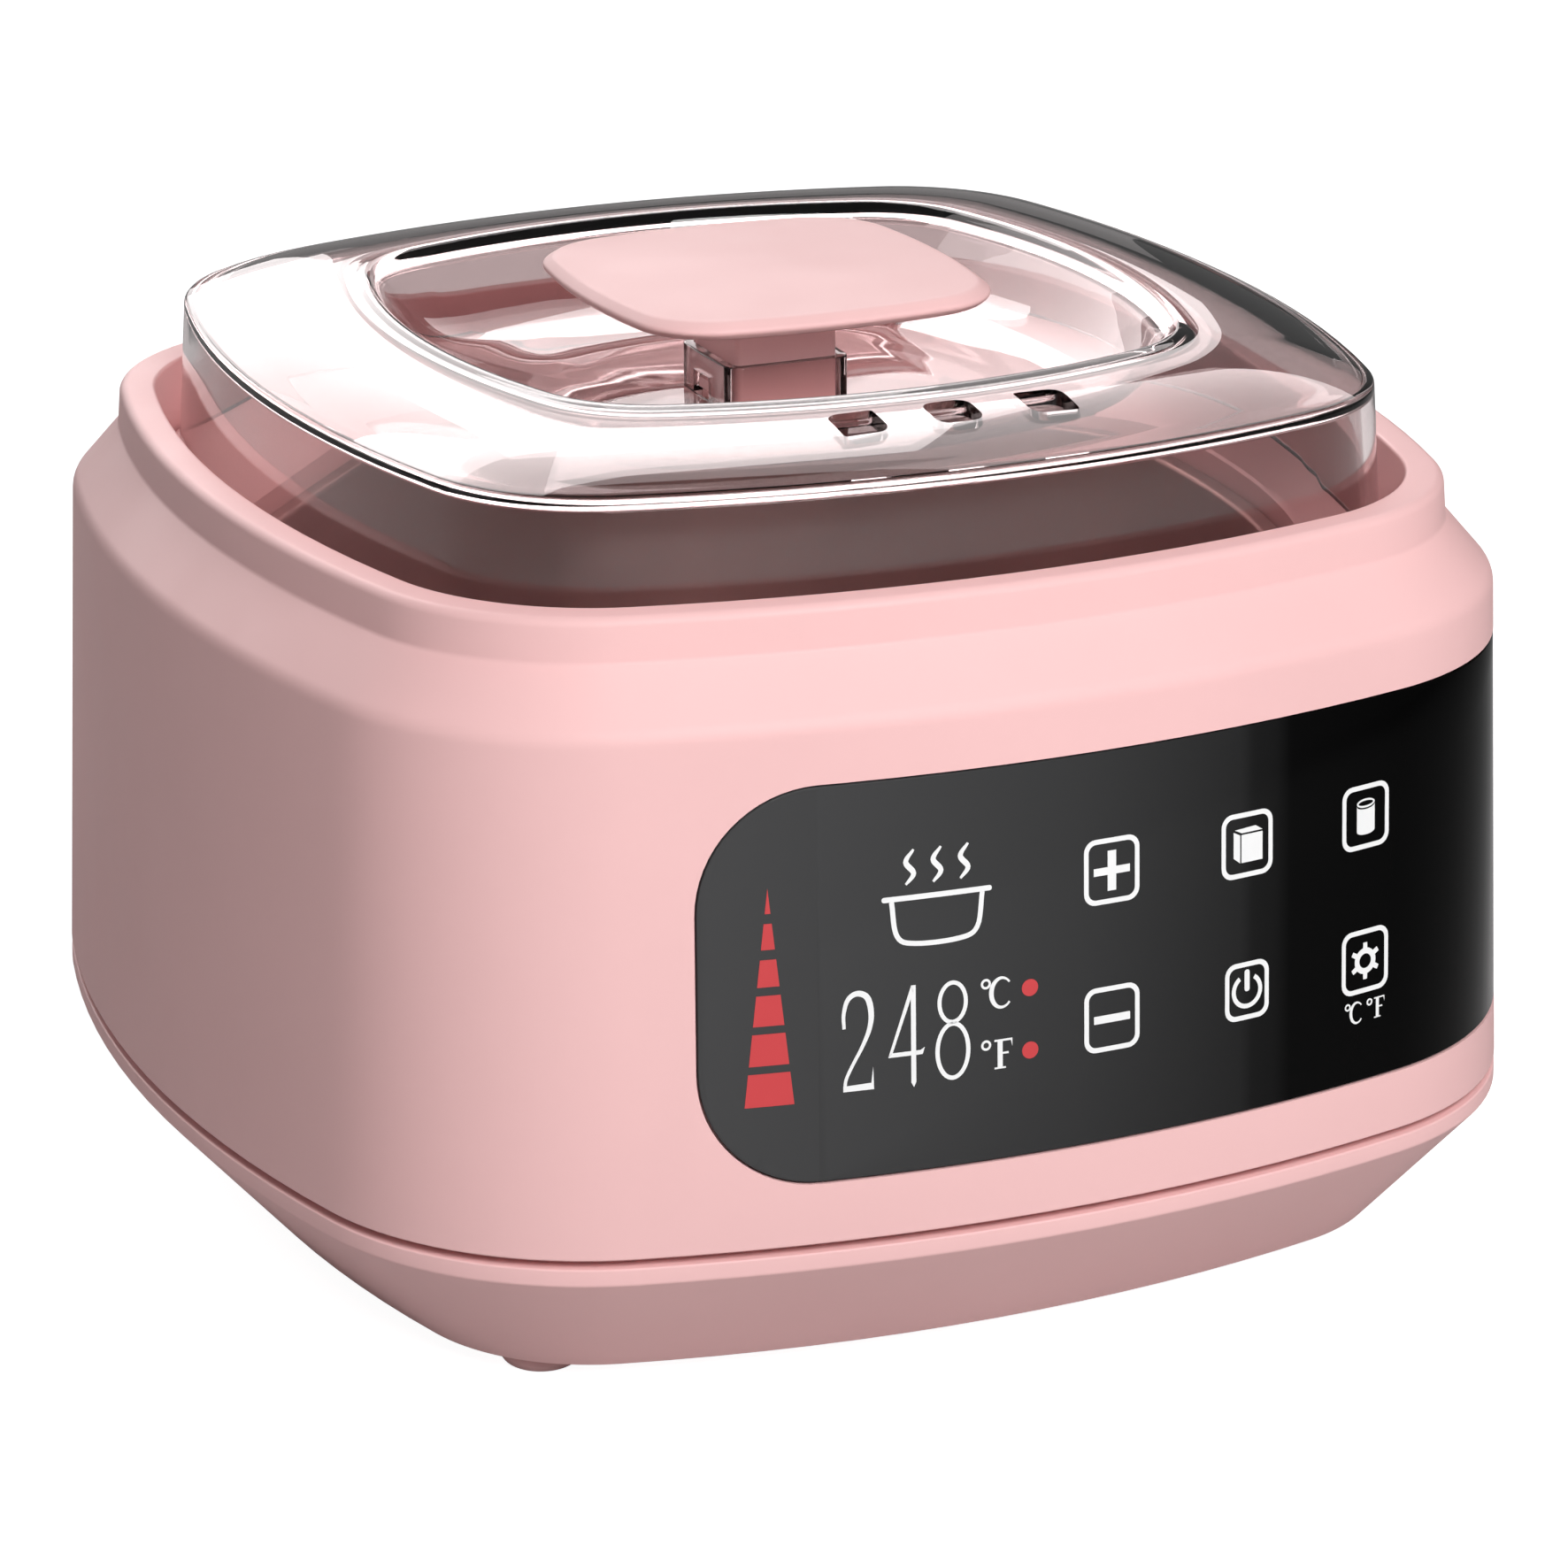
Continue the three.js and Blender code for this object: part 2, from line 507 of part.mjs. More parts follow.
add('band_clamp_screw', rodAlongY(1.4, -6.5, 6.5, CLAMP_X, CLAMP_Z, 8), STEEL);

function heatShield() {
  const disc = turned([
    [0, SHIELD_Z], [76, SHIELD_Z], [76, SHIELD_Z + 4], [75, SHIELD_Z + 4], [75, SHIELD_Z + 1],
    [0, SHIELD_Z + 1],
  ], { closed: false });
  return cut(disc, ...shieldHoles.map(([x, y]) => rod(2.2, 4, x, y, SHIELD_Z - 1, 8)));
}
add('heat_shield', heatShield(), STEEL);

const sensorRod = (radius, length, x, y, z) =>
  new THREE.CylinderGeometry(radius, radius, length, 10).rotateZ(QUARTER).translate(x, y, z);
add('temperature_sensor', sensorRod(2.4, 16, 0, -8, 44.3), STEEL);
add('thermal_fuse', sensorRod(2.0, 14, 0, 4, 44.7), FIBRE);
add('sensor_clip', cut(block(7, 30, 5.7, 0, -2, 41), block(9, 22, 5, 0, -2, 41.9)), STEEL);

// ---------------------------------------------------------------- panel electronics
function displayBoard() {
  const board = block(112, 1.6, 52, 6, BOARD_Y + 0.8, 42);
  return cut(board, ...displayHoles.map(([x, z]) => rodAlongY(1.7, -93, -86, x, z, 8)));
}
add('display_board', displayBoard(), CIRCUIT);
add('digit_display', block(32, 6.4, 15.4, -18, BOARD_Y - CLEARANCE - 3.2, 50.8), DISPLAY_GREY);
add('level_led_bar', block(7.4, 4.4, 33, -43, BOARD_Y - CLEARANCE - 2.2, 50.2), DISPLAY_GREY);
KEY_Z.forEach((z, row) => KEY_X.forEach((x, column) => {
  const wallInside = -outlinePoint(BODY, wallHalf(z) - WALL, 0).x + (x * x) / (2 * BODY_SIDE_R);
  const front = wallInside + 1.6;
  add(`touch_pad_${row * KEY_X.length + column + 1}`,
    rodAlongY(x > NARROW_PAD_X ? 2.5 : 3.5, front, BOARD_Y - CLEARANCE, x, z, 10), FOAM);
}));
displayHoles.forEach(([x, z], i) => {
  const fixing = screw(2.6, 1.6, 1.1, 4, 0, 0, 0).rotateX(QUARTER);
  add(`board_screw_${i + 1}`, fixing.translate(x, BOARD_Y + 1.6 + CLEARANCE, z), STEEL);
});

// ---------------------------------------------------------------- power electronics in the base
const BOARD_T = 1.6;
function powerBoard() {
  const board = block(92, 74, BOARD_T, 0, 10, POWER_BOARD_Z);
  return cut(board, ...boardHoles.map(([x, y]) => rod(1.7, 4, x, y, 11, 8)));
}
const onBoard = POWER_BOARD_Z + BOARD_T + CLEARANCE;
add('power_board', powerBoard(), CIRCUIT);
boardHoles.forEach(([x, y], i) => {
  const fixing = screw(2.6, 1.6, 1.1, 5.5, 0, 0, 0).rotateX(Math.PI);
  add(`power_board_screw_${i + 1}`, fixing.translate(x, y, onBoard), STEEL);
});
const transformerCore = block(26, 20, 20, 22, 8, onBoard);
const transformerWinding = block(20, 26, 14, 22, 8, onBoard + 3);
add('transformer', join(transformerCore, transformerWinding), BLACK_PLASTIC);
add('smoothing_capacitor', rod(5.2, 14, -6, -10, onBoard, 14), BLACK_PLASTIC);
const triacBody = block(10, 4.4, 9, -26, 2, onBoard);
add('triac', join(triacBody, block(10, 1.3, 15, -26, 3.55, onBoard)), BLACK_PLASTIC);
const TERMINAL_X = [-20.6, -14.9, -9.2, -3.5];
add('terminal_block', cut(
  block(26, 9, 10, -12, 38, onBoard),
  ...TERMINAL_X.map((x) => block(3.6, 6, 5, x, 43, onBoard + 2)),
), TERMINAL_GREEN);

const PIN_X = [-4.3, 4.3];
function mainsInlet() {
  const flange = block(31, 2, 24, 0, 98.3, INLET_Z - 12);
  const housing = join(block(24, 20.5, 17, 0, 93.35, INLET_Z - 8.5), flange);
  const mouth = roundedRectangle(-7.9, -4.2, 7.9, 4.2, 4.1);
  const cavity = prism(mouth, 18, 4).rotateX(-QUARTER).translate(0, 86.5, INLET_Z);
  return cut(housing, cavity, ...PIN_X.map((x) => rodAlongY(1.5, 80, 90, x, INLET_Z, 8)));
}
add('mains_inlet', mainsInlet(), BLACK_PLASTIC);
PIN_X.forEach((x, i) => {
  add(`inlet_pin_${i + 1}`, rodAlongY(1.2, 81.6, 100, x, INLET_Z, 8), BRASS);
});

// Leads inside the housing, each from its source to the terminal block.
const LEADS = {
  mains_lead_1: [LEAD_BLUE, [
    [-4.3, 80.8, 45], [-4.6, 78.6, 43], [-5.5, 78.4, 36], [-8, 68, 24], [-9.2, 52, 19], [-9.2, 43.2, 18.5],
  ]],
  mains_lead_2: [LEAD_RED, [
    [4.3, 80.8, 45], [4.2, 78.6, 43], [3.2, 78.4, 36], [-1, 68, 24], [-3.5, 52, 19], [-3.5, 43.2, 18.5],
  ]],
  heater_lead_1: [LEAD_WHITE, [
    [-84.6, 4.7, 62], [-85, 8, 52], [-83, 30, 38], [-66, 52, 26], [-30, 56, 20], [-20.6, 43, 18.5],
  ]],
  heater_lead_2: [LEAD_WHITE, [
    [-84.6, -4.7, 62], [-86.5, -2, 50], [-87, 26, 34], [-70, 58, 23], [-26, 62, 19.5], [-14.9, 43, 18.5],
  ]],
};
Object.entries(LEADS).forEach(([name, [sheath, route]]) => add(name, lead(route, SHEATH_R), sheath));
const RIBBON = [[30, -89.8, 41.4], [30, -88, 32], [30, -66, 20], [30, -42, 14.5], [30, -27.4, 13]];
add('ribbon_cable', ribbon(RIBBON, 14, 0.6), LEAD_WHITE);

// ---------------------------------------------------------------- lid and knob
// A square hole; the corners on one diagonal may be tighter than those on the other.
function ventHole(place) {
  const h = VENT_SIZE / 2;
  const rising = place < 0 ? VENT_TIGHT_R : VENT_CORNER_R; // near-left and far-right corners
  const falling = place > 0 ? VENT_TIGHT_R : VENT_CORNER_R;
  const shape = new THREE.Shape();
  shape.moveTo(-h + rising, -h);
  shape.lineTo(h - falling, -h);
  shape.quadraticCurveTo(h, -h, h, -h + falling);
  shape.lineTo(h, h - rising);
  shape.quadraticCurveTo(h, h, h - rising, h);
  shape.lineTo(-h + falling, h);
  shape.quadraticCurveTo(-h, h, -h, h - falling);
  shape.lineTo(-h, -h + rising);
  shape.quadraticCurveTo(-h, -h, -h + rising, -h);
  return prism(shape, 14, 3).translate(place * VENT_PITCH, VENT_Y, LID_EDGE_Z - 3.5);
}

function lidShell() {
  const edge = level(LID, LID_HALF - 0.6, LID_EDGE_Z);
  const brow = level(DISH, LIP_HALF + 1.6, LIP_Z - 0.4);
  const innerEdge = level(LID, LID_HALF - 2.6, LID_EDGE_Z - 2);
  const innerBrow = level(DISH, LIP_HALF + 1.4, LIP_Z - 2.8);
  const crown = (t) => LID_EDGE_Z + (LIP_Z - 0.4 - LID_EDGE_Z) * (1 - (1 - t) ** 2.4);
  const shell = moulded([
    level(LID, LID_HALF + 1.6, LID_BOTTOM_Z), level(LID, LID_HALF + 0.15, LID_EDGE_Z - 1.2), edge,
    ...[0.12, 0.35, 0.65].map((t) => blend(edge, brow, t, crown(t))),
    brow, level(DISH, LIP_HALF, LIP_Z), level(DISH, LIP_HALF - 1.3, LIP_Z - 0.7),
    level(DISH, 54.6, 137.4), level(DISH, 49.5, 131.6), level(DISH, 41, 128.6),
    level(DISH, 28, DISH_FLOOR_Z), level(DISH, 0, DISH_FLOOR_Z),
    level(DISH, 0, DISH_FLOOR_Z - LID_T), level(DISH, 28.4, DISH_FLOOR_Z - LID_T), level(DISH, 41.8, 126.2),
    level(DISH, 51.2, 129.7), level(DISH, 56.6, 136.6), innerBrow,
    ...[0.65, 0.35, 0.12].map((t) => blend(innerEdge, innerBrow, t, crown(t) - LID_T)),
    innerEdge, level(LID, LID_HALF - 0.6, LID_BOTTOM_Z),
  ]);
  const side = 2 * SOCKET_HALF;
  const socket = cut(
    block(side, side, SOCKET_TOP_Z - DISH_FLOOR_Z + 1, 0, 0, DISH_FLOOR_Z - 1),
    block(2 * STEM_HALF + 0.6, 2 * STEM_HALF + 0.6, 12, 0, 0, DISH_FLOOR_Z),
    block(4, 6, 3.6, -SOCKET_HALF, 1, DISH_FLOOR_Z + 0.2),
  );
  return cut(join(shell, socket), ...[-1, 0, 1].map(ventHole));
}
add('lid_shell', lidShell(), CLEAR);

function knobStem() {
  const width = 2 * STEM_HALF;
  const height = KNOB_BOTTOM_Z - DISH_FLOOR_Z - 2 * CLEARANCE;
  const post = block(width, width, height, 0, 0, DISH_FLOOR_Z + CLEARANCE);
  const catchNub = block(1.4, 4.6, 1.6, -STEM_HALF - 0.5, 1, DISH_FLOOR_Z + 1.2);
  return join(post, catchNub);
}
add('knob_stem', knobStem(), PINK);
add('knob_plate', moulded([
  level(KNOB, 0, KNOB_BOTTOM_Z), level(KNOB, KNOB_HALF - 1.5, KNOB_BOTTOM_Z),
  level(KNOB, KNOB_HALF, KNOB_BOTTOM_Z + 0.9), level(KNOB, KNOB_HALF - 0.4, KNOB_BOTTOM_Z + 2.1),
  level(KNOB, KNOB_HALF - 1.8, KNOB_BOTTOM_Z + 2.7),
  level(KNOB, 18, KNOB_TOP_Z - 0.35), level(KNOB, 0, KNOB_TOP_Z),
], false), PINK);

export default object;
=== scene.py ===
import json
import math

import bmesh
import bpy
from mathutils import Matrix, Vector


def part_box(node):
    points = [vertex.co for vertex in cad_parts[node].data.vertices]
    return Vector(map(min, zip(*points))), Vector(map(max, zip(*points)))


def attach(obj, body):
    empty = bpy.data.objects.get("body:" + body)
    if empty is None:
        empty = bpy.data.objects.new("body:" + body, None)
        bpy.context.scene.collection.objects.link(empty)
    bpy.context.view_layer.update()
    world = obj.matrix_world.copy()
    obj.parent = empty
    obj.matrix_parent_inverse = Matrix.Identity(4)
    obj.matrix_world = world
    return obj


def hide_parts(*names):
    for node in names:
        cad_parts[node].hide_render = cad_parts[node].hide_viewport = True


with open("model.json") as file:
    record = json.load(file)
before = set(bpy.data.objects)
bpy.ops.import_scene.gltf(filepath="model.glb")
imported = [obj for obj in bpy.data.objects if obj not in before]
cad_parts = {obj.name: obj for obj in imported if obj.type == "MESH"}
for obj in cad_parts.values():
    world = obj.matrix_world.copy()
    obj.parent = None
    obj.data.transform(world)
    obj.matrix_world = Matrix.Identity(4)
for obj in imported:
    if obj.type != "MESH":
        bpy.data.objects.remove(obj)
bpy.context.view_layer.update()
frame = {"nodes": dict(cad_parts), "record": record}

# Table-top wax warmer: moulded rose-pink housing, black touch panel wrapped round one corner,
# a pot inside and a clear vented lid with a square knob. Shapes are written in millimetres in the
# CAD frame (+Z up, -Y the front) and scaled to metres when a mesh is made.

MM = 0.001
QUARTER = math.pi / 2
scene = bpy.context.scene
scene.view_settings.view_transform = "Standard"
scene.view_settings.look = "None"

# ------------------------------------------------------------------ sizes, in millimetres
BODY_HALF = 105.0
SEAM_TOP_Z = 28.3
SHOULDER_Z = 106.4
SHOULDER_HALF = 101.97
WALL = 3.0
DECK_TOP_Z = 112.2
DECK_HALF = 86.7
APERTURE_R = 84.0
APERTURE_TOP_Z = 104.3
APERTURE_BOTTOM_Z = 100.3
LID_EDGE_Z = 136.5
DISH_FLOOR_Z = 126.8
LID_T = 2.3
SOCKET_FOOT_Z = 125.6
SOCKET_TOP_Z = 133.9
STEM_HALF = 8.65
SOCKET_HALF = 10.5
VENT_SIZE = 7.6
VENT_PITCH = 15.2
VENT_Y = -68.6
PANEL_CORNER_R = 18.0
POST_R = 92.0
POST_ANGLE = 36.5
RING_SCREW_ANGLE = 53.5


# ------------------------------------------------------------------ plan outlines
# Four shallow side arcs joined by four corner arcs, as (side radius, corner radius) of a half width.
def offsets(half, side, corner):
    return lambda a: (side - half + a, corner - half + a)


def scaled(half, side, corner):
    return lambda a: (side * a / half, corner * a / half)


BODY = offsets(BODY_HALF, 251.8, 47.9)
COLLAR = offsets(88.5, 232.3, 34.6)
LID = offsets(82.9, 217.2, 28.2)
DISH = scaled(58, 122, 20.4)
KNOB = scaled(31.06, 124.8, 13.3)
STEM = offsets(STEM_HALF, 240, 1.0)


def ROUND(a):
    return (a, a)


SIDE_END_DEG = 14.4
SIDE_STEPS = 8
CORNER_STEPS = 20


def plan_normals():
    """Directions round one turn, evenly spread along the sides and closer together at the corners."""
    side = [SIDE_END_DEG * i / SIDE_STEPS for i in range(SIDE_STEPS)]
    corner = [SIDE_END_DEG + (90 - 2 * SIDE_END_DEG) * i / CORNER_STEPS for i in range(CORNER_STEPS)]
    far = [90 - SIDE_END_DEG + SIDE_END_DEG * i / SIDE_STEPS for i in range(SIDE_STEPS)]
    return [math.radians(turn + a) for turn in (0, 90, 180, 270) for a in side + corner + far]


NORMALS = plan_normals()


def outline_point(plan, half, normal):
    """The point of an outline whose outward normal has the given direction."""
    turn = round(normal / QUARTER)
    t = normal - turn * QUARTER
    side, corner = plan(half)
    if side - corner < 1e-6:
        x, y = half * math.cos(t), half * math.sin(t)
    else:
        side_end = math.acos((side - half) / (side - corner) / math.sqrt(2)) - math.pi / 4
        centre = (side - corner) * math.sin(side_end)
        if abs(t) <= side_end:
            x, y = half - side + side * math.cos(t), side * math.sin(t)
        else:
            x = centre + corner * math.cos(t)
            y = math.copysign(centre, t) + corner * math.sin(t)
    c, s = math.cos(turn * QUARTER), math.sin(turn * QUARTER)
    return x * c - y * s, x * s + y * c


def level(plan, half, z):
    return lambda normal: Vector((*outline_point(plan, half, normal), z))


def mixed(start, end, t, z):
    def at(normal):
        p = start(normal).lerp(end(normal), t)
        p.z = z
        return p

    return at


def rounded(corners, steps=5):
    """A line of (half, z, radius) corners as points, with each corner turned on its radius."""
    points = []
    for i, (h, z, r) in enumerate(corners):
        here = Vector((h, z))
        if r <= 0 or i in (0, len(corners) - 1):
            points.append(here)
            continue
        back = (Vector(corners[i - 1][:2]) - here).normalized()
        on = (Vector(corners[i + 1][:2]) - here).normalized()
        half_angle = back.angle(on) / 2
        reach = r / math.tan(half_angle)
        centre = here + (back + on).normalized() * (r / math.sin(half_angle))
        first, last = here + back * reach - centre, here + on * reach - centre
        sweep = first.angle_signed(last)
        for k in range(steps + 1):
            a = -sweep * k / steps
            points.append(centre + Vector((first.x * math.cos(a) - first.y * math.sin(a),
                                           first.x * math.sin(a) + first.y * math.cos(a))))
    return points


def run(plan, corners, steps=5):
    """Levels of one plan family along a rounded line of (half, z, radius) corners."""
    return [level(plan, p.x, p.y) for p in rounded(corners, steps)]


def smooth(points, steps=5):
    """Points on a Catmull-Rom curve through the given ones."""
    vectors = [Vector(p) for p in points]
    padded = [2 * vectors[0] - vectors[1], *vectors, 2 * vectors[-1] - vectors[-2]]
    made = []
    for i in range(1, len(padded) - 2):
        a, b, c, d = padded[i - 1:i + 3]
        for k in range(steps):
            t = k / steps
            made.append(0.5 * (2 * b + (c - a) * t + (2 * a - 5 * b + 4 * c - d) * t * t
                               + (3 * b - a - 3 * c + d) * t ** 3))
    return made + [vectors[-1]]


# ------------------------------------------------------------------ mesh building
SHARP_DEG = 32


def shade(obj, angle=SHARP_DEG):
    obj.data.shade_smooth()
    obj.data.set_sharp_from_angle(angle=math.radians(angle))


def solid(name, verts, faces):
    """One closed mesh object from points in millimetres."""
    mesh = bpy.data.meshes.new(name)
    mesh.from_pydata([Vector(v) * MM for v in verts], [], faces)
    bm = bmesh.new()
    bm.from_mesh(mesh)
    bmesh.ops.remove_doubles(bm, verts=bm.verts, dist=1e-6)
    bmesh.ops.recalc_face_normals(bm, faces=bm.faces)
    bm.to_mesh(mesh)
    bm.free()
    obj = bpy.data.objects.new(name, mesh)
    scene.collection.objects.link(obj)
    return obj


def moulded(name, levels, closed=True, normals=NORMALS):
    """A section of levels carried round the plan; it closes on itself or ends on the axis."""
    count = len(normals)
    verts = [at(normal) for at in levels for normal in normals]
    faces = []
    for i in range(len(levels) if closed else len(levels) - 1):
        a, b = i * count, (i + 1) % len(levels) * count
        for j in range(count):
            k = (j + 1) % count
            faces.append((a + j, a + k, b + k, b + j))
    return solid(name, verts, faces)


def turned(name, profile, closed=True, segments=128, x=0.0, y=0.0):
    """A round section of (r, z) points turned about an upright axis."""
    normals = [2 * math.pi * i / segments for i in range(segments)]
    levels = [level(ROUND, r, z) for r, z in profile]
    obj = moulded(name, levels, closed, normals)
    obj.data.transform(Matrix.Translation((x * MM, y * MM, 0)))
    return obj


def prism(name, outline, z0, z1):
    """An upright prism of a closed outline of (x, y) points."""
    n = len(outline)
    verts = [(x, y, z) for z in (z0, z1) for x, y in outline]
    sides = [(i, (i + 1) % n, n + (i + 1) % n, n + i) for i in range(n)]
    return solid(name, verts, [tuple(range(n)), tuple(range(n, 2 * n)), *sides])


def rod(name, radius, z0, z1, x, y, segments=48):
    return turned(name, [(0, z0), (radius, z0), (radius, z1), (0, z1)], False, segments, x, y)


def settle(obj):
    """Applies every modifier of obj to its mesh."""
    bpy.context.view_layer.update()
    depsgraph = bpy.context.evaluated_depsgraph_get()
    mesh = bpy.data.meshes.new_from_object(obj.evaluated_get(depsgraph))
    obj.modifiers.clear()
    obj.data = mesh
    return obj


def combined(obj, others, operation):
    """obj joined with, or cut by, other solids, which are used up."""
    for other in others:
        modifier = obj.modifiers.new(other.name, "BOOLEAN")
        modifier.operation = operation
        modifier.solver = "EXACT"
        modifier.object = other
    settle(obj)
    for other in others:
        bpy.data.objects.remove(other)
    return obj


def join(obj, *others):
    return combined(obj, others, "UNION")


def cut(obj, *others):
    return combined(obj, others, "DIFFERENCE")


def soften(obj, width, angle=50, segments=3):
    """Rounds every edge sharper than the angle."""
    modifier = obj.modifiers.new("soften", "BEVEL")
    modifier.width = width * MM
    modifier.segments = segments
    modifier.limit_method = "ANGLE"
    modifier.angle_limit = math.radians(angle)
    modifier.harden_normals = False
    return settle(obj)


def arc(cx, cy, rx, ry, start, end, steps):
    """Points on an ellipse from one angle to another, in degrees."""
    angles = [math.radians(start + (end - start) * i / steps) for i in range(steps + 1)]
    return [(cx + rx * math.cos(a), cy + ry * math.sin(a)) for a in angles]


def rounded_box(x0, y0, x1, y1, r, steps=6):
    corners = ((x1 - r, y0 + r, -90), (x1 - r, y1 - r, 0), (x0 + r, y1 - r, 90), (x0 + r, y0 + r, 180))
    return [p for cx, cy, start in corners for p in arc(cx, cy, r, r, start, start + 90, steps)]


def polar(radius, degrees):
    return radius * math.cos(math.radians(degrees)), radius * math.sin(math.radians(degrees))


posts = [polar(POST_R, POST_ANGLE + turn) for turn in (0, 90, 180, 270)]
ring_screws = [polar(POST_R, RING_SCREW_ANGLE + turn) for turn in (0, 90, 180, 270)]


# ------------------------------------------------------------------ materials
def srgb(red, green, blue):
    """A display colour, 0 to 255, as linear light."""
    shares = [c / 255 for c in (red, green, blue)]
    return tuple(c / 12.92 if c <= 10 / 255 else ((c + 0.055) / 1.055) ** 2.4 for c in shares)


class Finish:
    """One procedural material: colour, roughness and relief vary by noise in the part's own space."""

    def __init__(self, name, colour, roughness, metallic=0.0, specular=0.5):
        self.material = bpy.data.materials.new(name)
        self.material.use_nodes = True
        self.tree = self.material.node_tree
        self.shader = self.tree.nodes["Principled BSDF"]
        self.colour = colour
        self.roughness = roughness
        self.shader.inputs["Base Color"].default_value = (*colour, 1)
        self.shader.inputs["Roughness"].default_value = roughness
        self.shader.inputs["Metallic"].default_value = metallic
        self.shader.inputs["Specular IOR Level"].default_value = specular
        self.place = self.node("ShaderNodeTexCoord").outputs["Object"]

    def node(self, kind, **settings):
        made = self.tree.nodes.new(kind)
        for key, value in settings.items():
            setattr(made, key, value)
        return made

    def link(self, source, target):
        self.tree.links.new(source, target)

    def noise(self, scale, detail=3.0, stretch=(1, 1, 1)):
        """Noise with scale cells a metre."""
        mapping = self.node("ShaderNodeMapping")
        mapping.inputs["Scale"].default_value = stretch
        texture = self.node("ShaderNodeTexNoise")
        texture.inputs["Scale"].default_value = scale
        texture.inputs["Detail"].default_value = detail
        self.link(self.place, mapping.inputs["Vector"])
        self.link(mapping.outputs["Vector"], texture.inputs["Vector"])
        return texture.outputs["Fac"]

    def range(self, value, low, high, start=0.3, end=0.7):
        made = self.node("ShaderNodeMapRange")
        for key, number in (("From Min", start), ("From Max", end), ("To Min", low), ("To Max", high)):
            made.inputs[key].default_value = number
        self.link(value, made.inputs["Value"])
        return made.outputs["Result"]

    def ramp(self, value, stops):
        made = self.node("ShaderNodeValToRGB")
        elements = made.color_ramp.elements
        for _ in range(len(stops) - 2):
            elements.new(0.5)
        for element, (position, colour) in zip(elements, stops):
            element.position = position
            element.color = (*colour, 1)
        self.link(value, made.inputs["Fac"])
        return made.outputs["Color"]

    def tint(self, scale, amount, detail=3.0):
        """Varies the colour a little either way."""
        value = self.noise(scale, detail)
        dark, light = (tuple(min(1, c * (1 + k)) for c in self.colour) for k in (-amount, amount))
        self.link(self.ramp(value, [(0.3, dark), (0.7, light)]), self.shader.inputs["Base Color"])
        return self

    def sheen_range(self, scale, amount):
        """Varies the roughness a little either way."""
        value = self.range(self.noise(scale), self.roughness - amount, self.roughness + amount)
        self.link(value, self.shader.inputs["Roughness"])
        return self

    def relief(self, value, strength, depth):
        """Raises the surface by a texture value, depth in millimetres; a second call adds to the first."""
        bump = self.node("ShaderNodeBump")
        bump.inputs["Strength"].default_value = strength
        bump.inputs["Distance"].default_value = depth * MM
        self.link(value, bump.inputs["Height"])
        normal = self.shader.inputs["Normal"]
        if normal.links:
            self.link(normal.links[0].from_socket, bump.inputs["Normal"])
        self.link(bump.outputs["Normal"], normal)
        return self


def plastic(name, colour, roughness, tint=0.02, grain=1400, relief=0.25, depth=0.02, specular=0.5):
    """Moulded plastic: faint flow marks in the colour and a fine spark-eroded grain."""
    made = Finish(name, colour, roughness, specular=specular)
    made.tint(18, tint).sheen_range(60, 0.05)
    return made.relief(made.noise(grain, 2), relief, depth)


def drawn_metal(name, colour, roughness, stretch):
    """Metal with fine drawing or brushing lines along the axis that the stretch leaves long."""
    made = Finish(name, colour, roughness, metallic=1.0)
    made.tint(30, 0.03).sheen_range(90, 0.02)
    return made.relief(made.noise(400, 4, stretch), 0.35, 0.02)


PINK = (0.835, 0.512, 0.508)
housing_pink = plastic("housing_pink", PINK, 0.5, specular=0.22)
knob_pink = plastic("knob_pink", (0.845, 0.525, 0.52), 0.52,
                    grain=2200, relief=0.35, depth=0.03, specular=0.22)
foot_pink = plastic("foot_pink", (0.72, 0.42, 0.415), 0.75, tint=0.05, grain=900, relief=0.4, depth=0.04)
# Painted shade: the deck ring's pink is darker than the housing's, standing in for the shade it lies in under
# the lid and collar.
deck_pink_painted_shade = plastic("deck_pink_painted_shade", (0.60, 0.355, 0.35), 0.5)
black_plastic = plastic("black_plastic", (0.018, 0.018, 0.019), 0.5, tint=0.15, grain=900, depth=0.03)
print_white = plastic("print_white", (0.86, 0.86, 0.86), 0.5, tint=0.01, grain=2600, relief=0.1, depth=0.005)
print_red = plastic("print_red", srgb(200, 62, 66), 0.5, tint=0.03, grain=2600, relief=0.1, depth=0.005)


def panel_material():
    """Polished black acrylic with a painted reflection: the base colour is lighter grey towards the display
    end in soft steps, standing in for surroundings reflected in it.
    """
    made = Finish("panel_black_painted_reflection", (0.012, 0.012, 0.013), 0.07, specular=0.03)
    display_end, far_end = -0.054, 0.1
    axes = made.node("ShaderNodeSeparateXYZ")
    made.link(made.place, axes.inputs["Vector"])
    along = made.range(axes.outputs["X"], 0.0, 1.0, display_end, far_end)
    # Painted reflection: the base colour runs from light grey at the display end to near black at the far
    # end, in place of reflected surroundings.
    painted_reflection_greys = [(0.0, 70), (0.38, 54), (0.56, 37), (0.575, 26), (0.60, 23), (0.618, 9), (0.75, 5), (1.0, 4)]
    stops = [(position, srgb(g, g, g * 1.01)) for position, g in painted_reflection_greys]
    made.link(made.ramp(along, stops), made.shader.inputs["Base Color"])
    made.sheen_range(40, 0.02)
    return made.relief(made.noise(6, 1), 0.05, 0.05)


